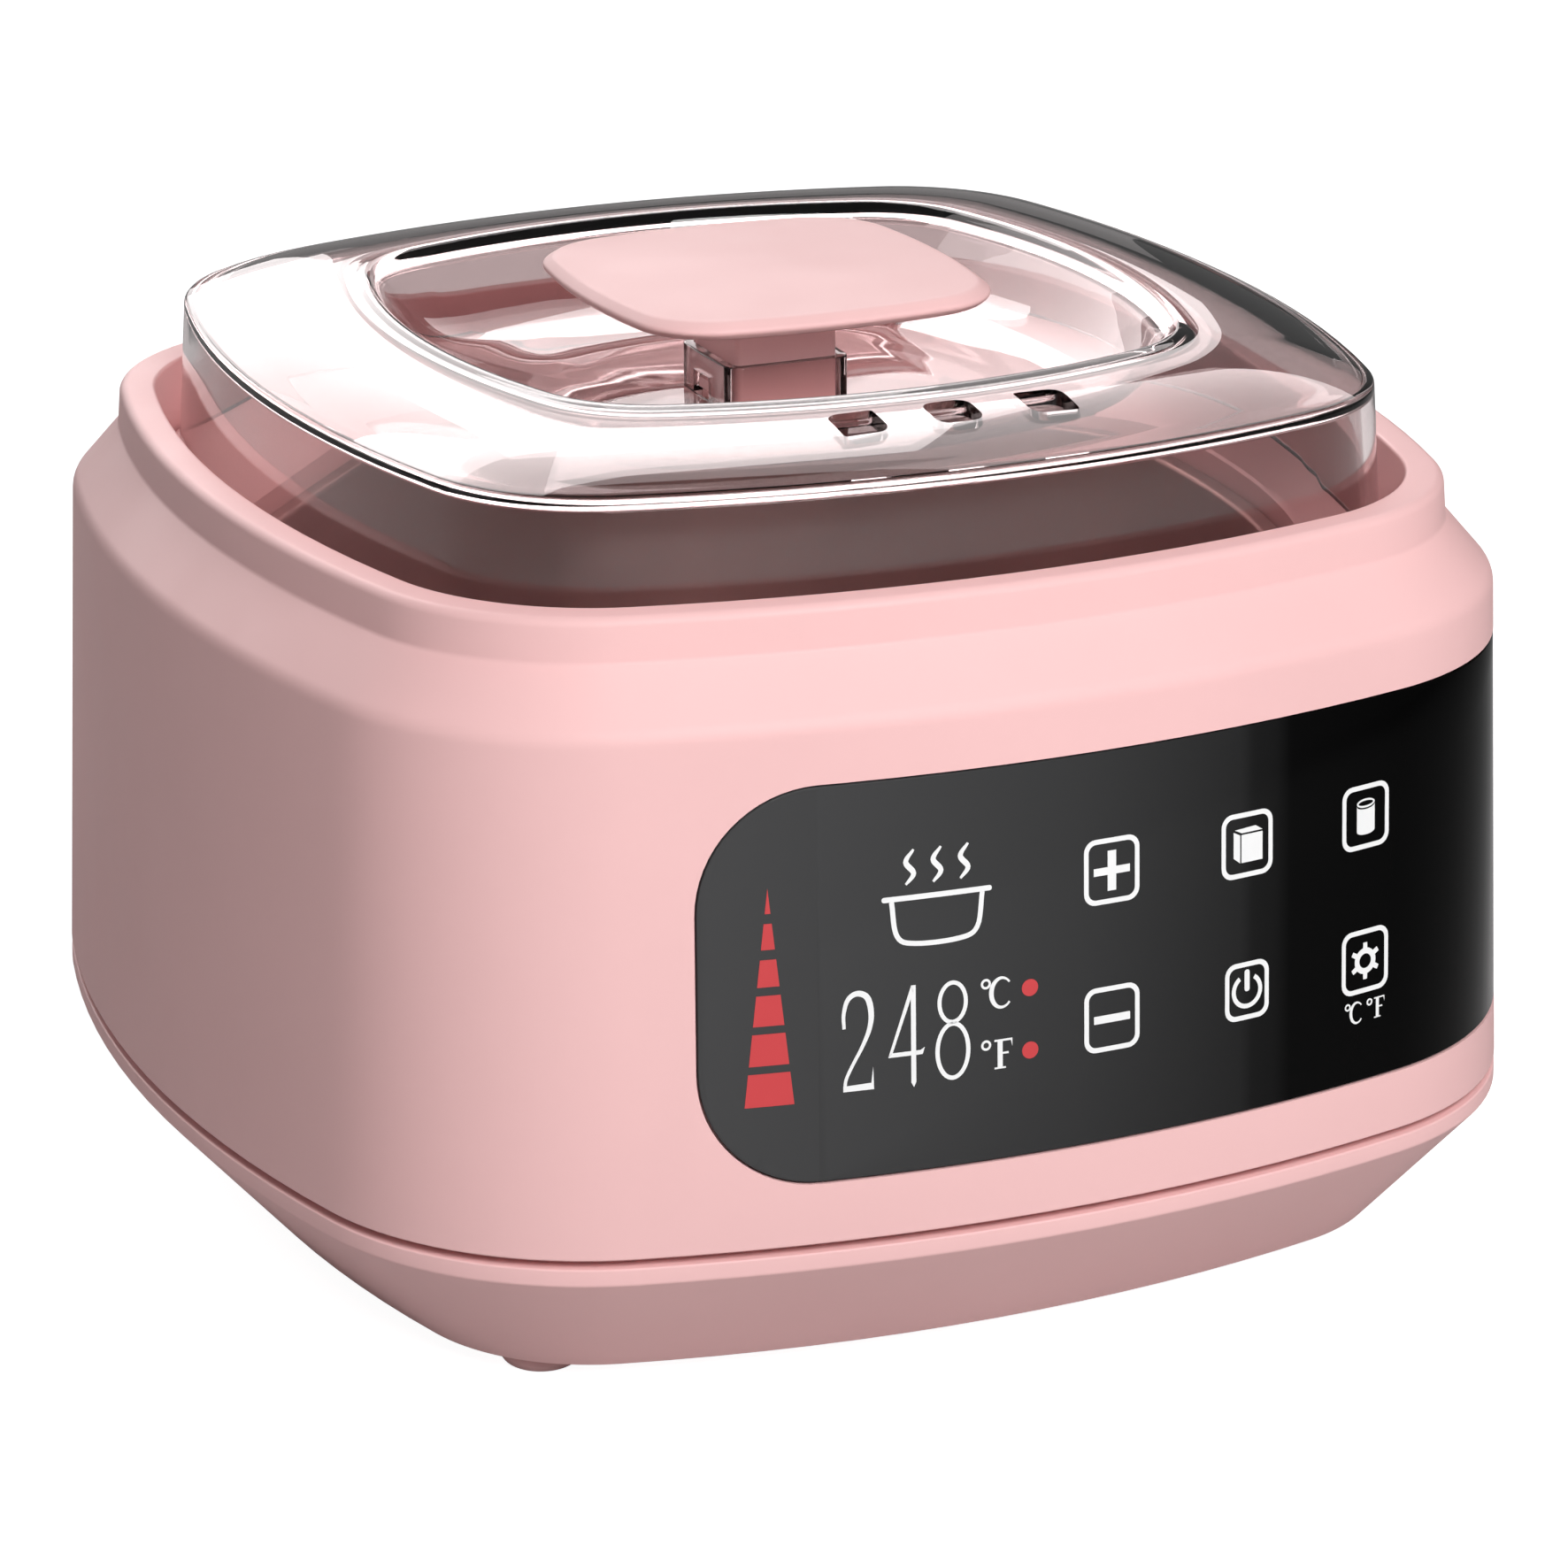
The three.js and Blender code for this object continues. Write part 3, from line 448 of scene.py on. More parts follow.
def clear_material():
    """Clear polished plastic with a warm grey tint; lamps reach the pot through it."""
    made = Finish("clear_lid", (0.64, 0.555, 0.555), 0.015)
    made.shader.inputs["Transmission Weight"].default_value = 1.0
    made.shader.inputs["IOR"].default_value = 1.47
    made.tint(12, 0.008)
    made.relief(made.noise(14, 1), 0.01, 0.05)
    through = made.node("ShaderNodeBsdfTransparent")
    through.inputs["Color"].default_value = (0.76, 0.69, 0.69, 1)
    path = made.node("ShaderNodeLightPath")
    mix = made.node("ShaderNodeMixShader")
    made.link(path.outputs["Is Shadow Ray"], mix.inputs["Fac"])
    made.link(made.shader.outputs["BSDF"], mix.inputs[1])
    made.link(through.outputs["BSDF"], mix.inputs[2])
    made.link(mix.outputs["Shader"], made.tree.nodes["Material Output"].inputs["Surface"])
    return made


def non_stick_material():
    """Dark coating with lighter flecks."""
    made = Finish("non_stick", srgb(140, 114, 110), 0.36, metallic=0.6)
    flecks = made.noise(2600, 1)
    dark, fleck = made.colour, srgb(128, 118, 116)
    made.link(made.ramp(flecks, [(0.0, dark), (0.66, dark), (0.72, fleck)]), made.shader.inputs["Base Color"])
    made.sheen_range(120, 0.08)
    return made.relief(made.noise(1500, 2), 0.12, 0.02)


def woven_material(name, colour):
    """Plain weave of fine yarns."""
    made = Finish(name, colour, 0.9)
    made.tint(60, 0.06)
    for direction in ("X", "Z"):
        wave = made.node("ShaderNodeTexWave", wave_type="BANDS", bands_direction=direction)
        wave.inputs["Scale"].default_value = 320
        made.link(made.place, wave.inputs["Vector"])
        made.relief(wave.outputs["Fac"], 0.5, 0.15)
    return made


# The panel's base colour carries a painted reflection.
panel_black_painted_reflection = panel_material()
clear_lid = clear_material()
non_stick = non_stick_material()
aluminium = drawn_metal("aluminium", (0.76, 0.77, 0.78), 0.3, (0.05, 0.05, 2.5))
steel = drawn_metal("steel", (0.62, 0.63, 0.65), 0.32, (2.0, 0.3, 2.0))
brass = drawn_metal("brass", (0.76, 0.56, 0.24), 0.25, (2.0, 0.2, 2.0))
glass_fibre = woven_material("glass_fibre", (0.80, 0.78, 0.70))
mica = plastic("mica", (0.36, 0.26, 0.13), 0.55, tint=0.25, grain=700, relief=0.5, depth=0.05)
circuit = plastic("circuit", (0.02, 0.12, 0.055), 0.35, tint=0.12, grain=1800, depth=0.02)
foam = plastic("foam", (0.02, 0.02, 0.022), 0.95, tint=0.2, grain=1500, relief=0.9, depth=0.15)
display_grey = plastic("display_grey", (0.14, 0.14, 0.15), 0.4, tint=0.05)
terminal_green = plastic("terminal_green", (0.03, 0.20, 0.08), 0.45, tint=0.05)
lead_blue = plastic("lead_blue", (0.025, 0.11, 0.42), 0.5, tint=0.05)
lead_red = plastic("lead_red", (0.48, 0.035, 0.025), 0.5, tint=0.05)
lead_white = plastic("lead_white", (0.78, 0.78, 0.76), 0.5, tint=0.03)

SLOT_FINISH = {
    "housing_plastic": housing_pink, "knob_plastic": knob_pink, "foot_rubber": foot_pink,
    "panel_gloss": panel_black_painted_reflection, "lid_clear": clear_lid, "non_stick_coating": non_stick,
    "bowl_aluminium": aluminium, "steel": steel, "heater_mica": mica, "glass_fibre": glass_fibre,
    "circuit_board": circuit, "display_housing": display_grey, "touch_foam": foam,
    "black_plastic": black_plastic, "terminal_green": terminal_green, "brass": brass,
    "lead_blue": lead_blue, "lead_red": lead_red, "lead_white": lead_white,
}


def place(obj, body, slot, nodes=(), finish=None, sharp=SHARP_DEG):
    """Gives a finished piece the material of its slot, attaches it to its body and hides the CAD nodes that
    it stands for.
    """
    obj.data.materials.clear()
    obj.data.materials.append((finish or SLOT_FINISH[slot]).material)
    shade(obj, sharp)
    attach(obj, body)
    if nodes:
        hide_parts(*nodes)
    return obj


# ------------------------------------------------------------------ camera, lights and floor
CAMERA_PLACE = (-0.3756, -0.8610, 0.3852)
CAMERA_AZIMUTH = -23.75
CAMERA_ELEVATION = 19.0
CAMERA_LENS = 142.6


def make_camera():
    data = bpy.data.cameras.new("camera")
    data.sensor_width = 36
    data.lens = CAMERA_LENS
    data.clip_start, data.clip_end = 0.05, 50
    camera = bpy.data.objects.new("camera", data)
    camera.location = CAMERA_PLACE
    camera.rotation_euler = (math.radians(90 - CAMERA_ELEVATION), 0, math.radians(CAMERA_AZIMUTH))
    scene.collection.objects.link(camera)
    scene.camera = camera


LID_MIDDLE = (0, 0, 0.13)
BODY_MIDDLE = (0, 0, 0.08)
GLOSS_TINT = (1, 0.93, 0.93)


def softbox(name, azimuth, elevation, distance, width, height, power,
            target=BODY_MIDDLE, matt=True, gloss=True):
    """A soft area lamp aimed at the object. Azimuth 0 is in front, 90 to the right.

    A lamp can light only the matt part of every surface, or only the gloss part."""
    data = bpy.data.lights.new(name, "AREA")
    data.shape = "RECTANGLE"
    data.size, data.size_y = width, height
    data.energy = power
    data.color = (1, 1, 1) if matt else GLOSS_TINT
    lamp = bpy.data.objects.new(name, data)
    a, e = math.radians(azimuth), math.radians(elevation)
    back = Vector((math.sin(a) * math.cos(e), -math.cos(a) * math.cos(e), math.sin(e)))
    lamp.location = Vector(target) + back * distance
    lamp.rotation_euler = back.to_track_quat("Z", "Y").to_euler()
    lamp.visible_diffuse = matt
    lamp.visible_glossy = gloss
    lamp.visible_transmission = gloss
    lamp.visible_camera = False
    scene.collection.objects.link(lamp)


WORLD_LIGHT = 0.15
LIGHT_THROUGH_LID = 0.42


def make_studio():
    softbox("key", 2, 37, 1.5, 0.8, 0.75, 22.5)
    softbox("left_fill", -95, 14, 1.6, 0.9, 0.9, 1.0)
    softbox("rear_fill", 186, 10, 1.6, 1.2, 0.8, 6, gloss=False)
    softbox("window", 198, 25, 1.6, 2.1, 1.2, 16, LID_MIDDLE, matt=False)
    softbox("window_core", 192, 25, 1.6, 1.7, 0.85, 9.5, LID_MIDDLE, matt=False)
    softbox("window_side", 159, 29, 1.6, 0.6, 0.9, 3.6, LID_MIDDLE, matt=False)
    softbox("horizon", 190, 3, 1.6, 2.8, 0.42, 0.9, LID_MIDDLE, matt=False)
    softbox("lid_glow", 173, 48, 1.2, 0.88, 0.6, 8.3, LID_MIDDLE, matt=False)
    softbox("flank", 143, 46, 1.6, 0.95, 1.05, 8.5, LID_MIDDLE, matt=False)
    world = bpy.data.worlds.new("world")
    world.use_nodes = True
    nodes, links = world.node_tree.nodes, world.node_tree.links
    background = nodes["Background"]
    background.inputs["Color"].default_value = (1, 1, 1, 1)
    background.inputs["Strength"].default_value = WORLD_LIGHT
    through = nodes.new("ShaderNodeBackground")
    through.inputs["Color"].default_value = (1, 0.86, 0.86, 1)
    through.inputs["Strength"].default_value = LIGHT_THROUGH_LID
    path = nodes.new("ShaderNodeLightPath")
    mix = nodes.new("ShaderNodeMixShader")
    links.new(path.outputs["Is Transmission Ray"], mix.inputs["Fac"])
    links.new(background.outputs["Background"], mix.inputs[1])
    links.new(through.outputs["Background"], mix.inputs[2])
    links.new(mix.outputs["Shader"], nodes["World Output"].inputs["Surface"])
    scene.world = world


FLOOR_HALF = 6.0
FLOOR_BOUNCE = 0.55
FLOOR_GLOW = 0.93


def make_floor():
    """A pale studio sweep: seen nearly white, with a softer return of light on the object."""
    edge = FLOOR_HALF / MM
    corners = [(-edge, -edge, 0), (edge, -edge, 0), (edge, edge, 0), (-edge, edge, 0)]
    obj = solid("floor", corners, [(0, 1, 2, 3)])
    made = Finish("floor_white", (FLOOR_BOUNCE,) * 3, 0.9, specular=0.0)
    glow = made.node("ShaderNodeEmission")
    glow.inputs["Color"].default_value = (1, 1, 1, 1)
    glow.inputs["Strength"].default_value = FLOOR_GLOW
    both = made.node("ShaderNodeAddShader")
    path = made.node("ShaderNodeLightPath")
    seen = made.node("ShaderNodeMath", operation="MAXIMUM")
    mix = made.node("ShaderNodeMixShader")
    output = made.tree.nodes["Material Output"]
    made.link(path.outputs["Is Camera Ray"], seen.inputs[0])
    made.link(path.outputs["Is Transmission Ray"], seen.inputs[1])
    made.link(made.shader.outputs["BSDF"], both.inputs[0])
    made.link(glow.outputs["Emission"], both.inputs[1])
    made.link(seen.outputs["Value"], mix.inputs["Fac"])
    made.link(made.shader.outputs["BSDF"], mix.inputs[1])
    made.link(both.outputs["Shader"], mix.inputs[2])
    made.link(mix.outputs["Shader"], output.inputs["Surface"])
    made.tint(3, 0.01)
    obj.data.materials.append(made.material)


make_camera()
make_studio()
make_floor()


# ------------------------------------------------------------------ the wall, unrolled
# s runs along the wall from the middle of the front to the right and round the corner.
def wall_half(z):
    """Half width of the upright wall, which leans in towards the shoulder."""
    return BODY_HALF + (SHOULDER_HALF - BODY_HALF) * (z - SEAM_TOP_Z) / (SHOULDER_Z - SEAM_TOP_Z)


UNROLL_HALF = 103.5  # half width at the height where s is measured
SIDE_R, CORNER_R = BODY(UNROLL_HALF)
SIDE_END = math.radians(SIDE_END_DEG)
SIDE_RUN = SIDE_R * SIDE_END
CORNER_RUN = CORNER_R * (QUARTER - 2 * SIDE_END)


def wall_point(s, z, depth):
    if s <= SIDE_RUN:
        normal = -QUARTER + s / SIDE_R
    elif s <= SIDE_RUN + CORNER_RUN:
        normal = -QUARTER + SIDE_END + (s - SIDE_RUN) / CORNER_R
    else:
        normal = -SIDE_END + (s - SIDE_RUN - CORNER_RUN) / SIDE_R
    return Vector((*outline_point(BODY, wall_half(z) - depth, normal), z))


WRAP_STEP = 1.6


def wrapped(name, marks, front, back, edge=0.0):
    """Flat marks bent onto the wall. A mark is (outline, hole or None) in (s, z); hole and outline have
    equal point counts. Front and back are depths below the wall's face."""
    bm = bmesh.new()

    def ring(loop, depth):
        return [bm.verts.new((s, z, depth)) for s, z in loop]

    for outer, hole in marks:
        loops = [outer] if hole is None else [outer, hole]
        rings = [[ring(loop, depth) for loop in loops] for depth in (front, back)]
        n = len(outer)
        for near in rings:
            if hole is None:
                bm.faces.new(near[0])
            else:
                for i in range(n):
                    j = (i + 1) % n
                    bm.faces.new((near[0][i], near[0][j], near[1][j], near[1][i]))
        for k in range(len(loops)):
            for i in range(n):
                j = (i + 1) % n
                bm.faces.new((rings[0][k][i], rings[0][k][j], rings[1][k][j], rings[1][k][i]))
    bmesh.ops.recalc_face_normals(bm, faces=bm.faces)
    if edge > 0:
        rim = [e for e in bm.edges if all(abs(v.co.z - front) < 1e-6 for v in e.verts)]
        bmesh.ops.bevel(bm, geom=rim, offset=edge, segments=2, profile=0.5, affect="EDGES")
    bmesh.ops.triangulate(bm, faces=[f for f in bm.faces if len(f.verts) > 4])
    low, high = min(v.co.x for v in bm.verts), max(v.co.x for v in bm.verts)
    for i in range(1, math.ceil((high - low) / WRAP_STEP)):
        everything = [*bm.verts, *bm.edges, *bm.faces]
        place_on = (low + i * WRAP_STEP, 0, 0)
        bmesh.ops.bisect_plane(bm, geom=everything, dist=1e-5, plane_co=place_on, plane_no=(1, 0, 0))
    for v in bm.verts:
        v.co = wall_point(v.co.x, v.co.y, v.co.z) * MM
    bmesh.ops.recalc_face_normals(bm, faces=bm.faces)
    mesh = bpy.data.meshes.new(name)
    bm.to_mesh(mesh)
    bm.free()
    obj = bpy.data.objects.new(name, mesh)
    scene.collection.objects.link(obj)
    return obj


# ------------------------------------------------------------------ housing
panel_low, panel_high = (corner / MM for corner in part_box("control_panel"))
PANEL_LEFT_S = SIDE_R * math.asin(panel_low.x / SIDE_R)
PANEL_RIGHT_S = 2 * SIDE_RUN + CORNER_RUN + SIDE_R * math.asin(panel_high.y / SIDE_R)
PANEL_GAP = 0.3
PANEL_FRONT = 0.05
PANEL_T = 1.2
RECESS_DEPTH = PANEL_T + 0.4
COLLAR_TOP_Z = 122.0
COLLAR_UNDER_Z = 109.0
BASE_FLOOR_Z = 3.6
BASE_LIP_Z = 27.0
TONGUE_TOP_Z = 33.6
RABBET_TOP_Z = 34.3
TONGUE_GAP = 0.7
INLET_HALF_X = 12.3
INLET_LOW_Z, INLET_HIGH_Z = 36.2, 53.8


def panel_outline(grow):
    return rounded_box(PANEL_LEFT_S - grow, panel_low.z - grow, PANEL_RIGHT_S + grow, panel_high.z + grow,
                       PANEL_CORNER_R + grow, 16)


def make_shell():
    """The upper shell: outside, collar mouth and inside, as (half width, z, corner radius)."""
    rabbet_half = wall_half(RABBET_TOP_Z) - WALL
    outer = run(BODY, [(102.7, SEAM_TOP_Z, 0), (BODY_HALF, SEAM_TOP_Z, 0.3), (101.95, 106.7, 4.5),
                       (94.4, 115.4, 1.2), (93.9, COLLAR_TOP_Z, 1.5), (91.0, COLLAR_TOP_Z, 0)], 8)
    mouth = run(COLLAR, [(89.6, COLLAR_TOP_Z, 0), (88.5, COLLAR_TOP_Z, 0.6), (88.3, COLLAR_UNDER_Z, 0),
                         (90.3, COLLAR_UNDER_Z, 0), (90.4, 112, 0)])
    inner = run(BODY, [(92.8, 114.4, 0), (97.2, 109.6, 2), (98.97, 105.5, 2),
                       (rabbet_half, RABBET_TOP_Z, 0), (rabbet_half + TONGUE_GAP, RABBET_TOP_Z, 0),
                       (102.7, SEAM_TOP_Z, 0)])[:-1]
    shell = moulded("housing_shell", outer + mouth + inner)
    recess = wrapped("recess", [(panel_outline(PANEL_GAP), None)], -2, RECESS_DEPTH)
    inlet_plan = rounded_box(-INLET_HALF_X, 98, INLET_HALF_X, 110, 1)
    inlet = prism("inlet_hole", inlet_plan, INLET_LOW_Z, INLET_HIGH_Z)
    cut(shell, recess, inlet)
    place(shell, "housing", "housing_plastic", ["upper_shell", "collar"])


def make_base():
    """The tub under the seam, with a tongue that stands inside the upper shell."""
    outer = [(60, BASE_FLOOR_Z, 0), (86.4, BASE_FLOOR_Z, 1.0), (105.05, 24.4, 0.8),
             (BODY_HALF, BASE_LIP_Z, 0.3), (102.2, BASE_LIP_Z, 0), (102.05, TONGUE_TOP_Z, 0.4),
             (100.6, TONGUE_TOP_Z, 0), (100.6, 25.0, 3), (85, 6.1, 1), (60, 6.1, 0)]
    levels = [level(ROUND, 0, BASE_FLOOR_Z), *run(BODY, outer, 6), level(ROUND, 0, 6.1)]
    base = moulded("base_tub", levels, False)
    join(base, *[rod("boss", 5.6, 4.1, 9, x, y) for x, y in posts])
    stepped_hole = [(0, 2), (3.4, 2), (3.4, 7), (1.8, 7), (1.8, 12), (0, 12)]
    cut(base, *[turned("counterbore", stepped_hole, False, 48, x, y) for x, y in posts])
    place(base, "housing", "housing_plastic", ["base_shell"])


def make_deck():
    """The heat-resistant ring: a flat collar edge falling to the round opening."""
    fall_steps, fall_curve = 14, 1.25
    edge_foot_z, tab_low_z, tab_high_z = 109.4, 109.4, 111.4
    bore_lip, bore_wall, tab_reach, tab_half = 0.4, 2.2, 1.0, 26
    rim = level(COLLAR, DECK_HALF - 1.4, DECK_TOP_Z)
    mouth = level(ROUND, APERTURE_R + bore_lip, APERTURE_TOP_Z)
    drop = DECK_TOP_Z - APERTURE_TOP_Z
    shares = [i / fall_steps for i in range(1, fall_steps)]
    fall = [mixed(rim, mouth, t, DECK_TOP_Z - drop * t ** fall_curve) for t in shares]
    edge = run(COLLAR, [(DECK_HALF, edge_foot_z, 0), (DECK_HALF, DECK_TOP_Z, 0.8),
                        (DECK_HALF - 1.4, DECK_TOP_Z, 0)])
    bore = [(APERTURE_R + bore_lip, APERTURE_TOP_Z), (APERTURE_R, APERTURE_TOP_Z - bore_lip),
            (APERTURE_R, APERTURE_BOTTOM_Z), (APERTURE_R + bore_wall, APERTURE_BOTTOM_Z),
            (APERTURE_R + bore_wall, APERTURE_TOP_Z - 2.4)]
    under = mixed(level(COLLAR, DECK_HALF, edge_foot_z), level(ROUND, APERTURE_R + bore_wall, 0), 0.6, 106)
    ring = moulded("deck_ring", [*edge, *fall, *[level(ROUND, r, z) for r, z in bore], under])
    tab = [(DECK_HALF - tab_reach, tab_low_z), (DECK_HALF + tab_reach, tab_low_z),
           (DECK_HALF + tab_reach, tab_high_z - 0.2), (DECK_HALF + 0.8, tab_high_z),
           (DECK_HALF - tab_reach, tab_high_z)]
    tabs = moulded("tabs", [level(COLLAR, half, z) for half, z in tab])
    keep = prism("keep_x", rounded_box(-tab_half, -110, tab_half, 110, 0.5), 100, 120)
    join(keep, prism("keep_y", rounded_box(-110, -tab_half, 110, tab_half, 0.5), 99, 121))
    combined(tabs, [keep], "INTERSECT")
    join(ring, tabs)
    # The deck ring takes the darker pink that holds painted shade.
    place(ring, "housing", "housing_plastic", ["inner_ring"], deck_pink_painted_shade)


def make_feet():
    profile = [Vector(p) for p in ((0, 0), (3.6, 0.0), (4.6, 0.12), (5.5, 0.55), (6.1, 1.3), (6.35, 2.2))]
    dome = [(p.x, p.y) for p in smooth(profile, 4)]
    for i in range(4):
        node = f"rubber_foot_{i + 1}"
        low, high = (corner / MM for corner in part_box(node))
        x, y = (low.x + high.x) / 2, (low.y + high.y) / 2
        neck = [(6.35, 3.3), (2.2, 3.3), (2.2, high.z), (0, high.z)]
        foot = turned(f"foot_{i + 1}", dome + neck, False, 64, x, y)
        place(foot, "housing", "foot_rubber", [node])


# ------------------------------------------------------------------ touch panel
STROKE = 0.75


def box_mark(s, z, half_s=4.6, half_z=5.0):
    """The rounded frame round a key."""
    inner_s, inner_z = half_s - STROKE, half_z - STROKE
    outer = rounded_box(s - half_s, z - half_z, s + half_s, z + half_z, 1.9)
    inner = rounded_box(s - inner_s, z - inner_z, s + inner_s, z + inner_z, 1.25)
    return outer, inner


def bar(s, z, width, height, r=0.12):
    return rounded_box(s - width / 2, z - height / 2, s + width / 2, z + height / 2, r, 3), None


def moved(points, s, z, size=1.0):
    return [(s + u * size, z + v * size) for u, v in points]


def stroke(points, width, s=0.0, z=0.0, steps=6):
    """A pen stroke along a smooth line; width is a number or a function of the share of the line."""
    line = smooth(points, steps) if len(points) > 2 else [Vector(p) for p in points]
    left, right = [], []
    for i, p in enumerate(line):
        ahead = line[min(i + 1, len(line) - 1)] - line[max(i - 1, 0)]
        share = i / (len(line) - 1)
        w = width(share) if callable(width) else width
        side = Vector((-ahead.y, ahead.x)).normalized() * w / 2
        left.append(tuple(p + side))
        right.append(tuple(p - side))
    return moved(left + right[::-1], s, z), None


def ring_mark(s, z, rx, ry, width, steps=28):
    full = arc(s, z, rx + width / 2, ry + width / 2, 0, 360, steps)[:-1]
    return full, arc(s, z, rx - width / 2, ry - width / 2, 0, 360, steps)[:-1]


def plus_icon(s, z):
    a, b, c, d = 3.0, 0.58, 0.7, 3.05
    cross = [(-c, -d), (c, -d), (c, -b), (a, -b), (a, b), (c, b),
             (c, d), (-c, d), (-c, b), (-a, b), (-a, -b), (-c, -b)]
    return [box_mark(s, z), (moved(cross, s, z), None)]


def minus_icon(s, z):
    return [box_mark(s, z), bar(s, z, 6.0, 1.2)]


def cube_icon(s, z):
    front = [(-1.05, -2.7), (2.75, -2.7), (2.75, 1.6), (-1.05, 1.6)]
    side = [(-2.45, -1.8), (-1.3, -2.7), (-1.3, 1.6), (-2.45, 2.2)]
    top = [(-2.2, 2.5), (-1.0, 1.9), (2.75, 1.9), (1.5, 2.7)]
    return [box_mark(s, z), *[(moved(shape, s, z), None) for shape in (front, side, top)]]


def cylinder_icon(s, z):
    body = arc(s, z - 2.2, 1.75, 0.6, 180, 360, 12) + arc(s, z + 1.75, 1.75, 0.6, 0, -180, 12)
    return [box_mark(s, z), (body, None), ring_mark(s, z + 2.1, 1.6, 0.55, 0.3)]


def power_icon(s, z):
    gap = 33
    outer = arc(s, z, 2.75, 2.75, 90 + gap, 450 - gap, 30)
    inner = arc(s, z, 2.05, 2.05, 450 - gap, 90 + gap, 30)
    return [box_mark(s, z, 3.95, 4.5), (outer + inner, None), bar(s, z + 1.6, 0.9, 3.4, 0.4)]


def gear_icon(s, z):
    """A wheel with six teeth."""
    count, tooth_pitch, tooth_half = 96, 60, 10.5
    tip_r, root_r, hole_r = 2.9, 2.05, 1.15
    outer, hole = [], []
    for i in range(count):
        turn = 360 * i / count
        angle = turn + tooth_pitch / 2
        on_tooth = abs(angle % tooth_pitch - tooth_pitch / 2) < tooth_half
        outer.append(polar(tip_r if on_tooth else root_r, angle))
        hole.append(polar(hole_r, angle))
    return [box_mark(s, z), (moved(outer, s, z), moved(hole, s, z))]


def pot_icon(s, z):
    """A generic pot with three curls of steam."""
    marks = [stroke([(-7, 0), (-6.2, -5.2), (-3.4, -6.6), (3.4, -6.6), (6.2, -5.2), (7, 0)], 0.75, s, z),
             bar(s, z + 0.4, 17, 0.8, 0.35)]
    for u in (-4.2, 0, 4.2):
        marks.append(stroke([(u - 0.6, 2.4), (u + 0.6, 4.0), (u - 0.6, 5.8), (u + 0.6, 7.6)],
                            lambda t: 0.35 + 0.5 * math.sin(math.pi * t), s, z))
    return marks


DIGIT_FOOT_Z = 51.3
TWO_S, FOUR_S, EIGHT_S = -32.4, -25.5, -18.0


def digits():
    """2, 4 and 8 in a narrow face with thick and thin strokes."""
    marks = []
    z = DIGIT_FOOT_Z
    two = [(0.3, 9.6), (0.25, 11.8), (0.9, 14.0), (2.35, 14.8), (3.85, 14.0), (4.4, 11.6), (4.1, 9.2),
           (3.0, 6.6), (1.5, 3.9), (0.55, 1.9), (0.35, 0.45)]
    marks.append(stroke(two, lambda t: 0.5 + 0.4 * math.sin(math.pi * min(1, t * 1.25)) ** 2, TWO_S, z, 5))
    foot = [(0.1, 0), (4.75, 0), (4.65, 3.4), (4.35, 1.0), (0.1, 0.85)]
    marks.append((moved(foot, TWO_S, z), None))
    upright = [(3.55, 15.1), (3.55, 0.3), (3.95, -0.45), (4.3, 0.3), (4.3, 15.1)]
    slope = [(0.05, 4.5), (0.5, 4.5), (4.0, 14.4), (3.6, 15.1)]
    crossbar = [(0.05, 4.45), (5.3, 4.45), (5.65, 5.5), (5.0, 5.1), (0.25, 5.1)]
    marks += [(moved(shape, FOUR_S, z), None) for shape in (upright, slope, crossbar)]
    marks.append(ring_mark(EIGHT_S + 2.5, z + 11.75, 2.05, 3.0, 0.62, 40))
    marks.append(ring_mark(EIGHT_S + 2.5, z + 4.35, 2.4, 4.15, 0.66, 40))
    return marks


def degree_sign(s, z, size):
    return ring_mark(s, z + 1.6 * size, 0.62 * size, 0.62 * size, 0.36 * size, 16)


def celsius(s, z, size):
    opening = arc(0, 0, 1.65, 2.25, 42, 318, 26)
    letter = stroke(opening, lambda t: 0.3 + 0.42 * math.sin(math.pi * t) ** 2, 0, 0, 1)[0]
    return [degree_sign(s - 2.5 * size, z, size), (moved(letter, s, z, size), None)]


def fahrenheit(s, z, size):
    stem = [(-0.4, -2.1), (0.4, -2.1), (0.4, 2.1), (-0.4, 2.1)]
    foot = [(-0.9, -2.25), (0.9, -2.25), (0.9, -2.0), (-0.9, -2.0)]
    top = [(-0.9, 1.95), (1.7, 1.95), (1.95, 1.0), (1.95, 2.25), (-0.9, 2.25)]
    middle = [(0.38, -0.05), (1.35, -0.05), (1.35, 0.25), (0.38, 0.25)]
    return [degree_sign(s - 2.2 * size, z, size),
            *[(moved(shape, s, z, size), None) for shape in (stem, foot, top, middle)]]


def unit_marks():
    """Degree marks with C and F, next to the digits and again under the unit key."""
    key_size, key_z = 0.72, 48.9
    return [*celsius(-7.8, 63.5, 1.0), *fahrenheit(-8.1, 54.1, 1.0),
            *celsius(54.3, key_z, key_size), *fahrenheit(58.4, key_z, key_size)]


LEVEL_TIP_Z = 83.2
LEVEL_FOOT_Z = 50.3
LEVEL_HALF = 3.68
LEVEL_BARS = [(83.2, 79.4), (77.9, 74.0), (72.5, 68.4), (67.1, 62.5), (61.3, 56.5), (55.3, 50.3)]
LEVEL_S = -43.3


def level_bars():
    def half(z):
        return LEVEL_HALF * (LEVEL_TIP_Z - z) / (LEVEL_TIP_Z - LEVEL_FOOT_Z)

    marks = []
    for top, bottom in LEVEL_BARS:
        a, b = half(top), half(bottom)
        shape = [(LEVEL_S - b, bottom), (LEVEL_S + b, bottom), (LEVEL_S + a, top), (LEVEL_S - a, top)]
        marks.append((shape if a > 0 else shape[:3], None))
    return marks


KEY_COLUMNS = (10.1, 33.5, 55.9)
KEY_ROWS = (56.8, 79.5)
DOT_S, DOT_ROWS, DOT_R = -3.3, (63.6, 54.0), 1.3
PRINT_T = 0.15


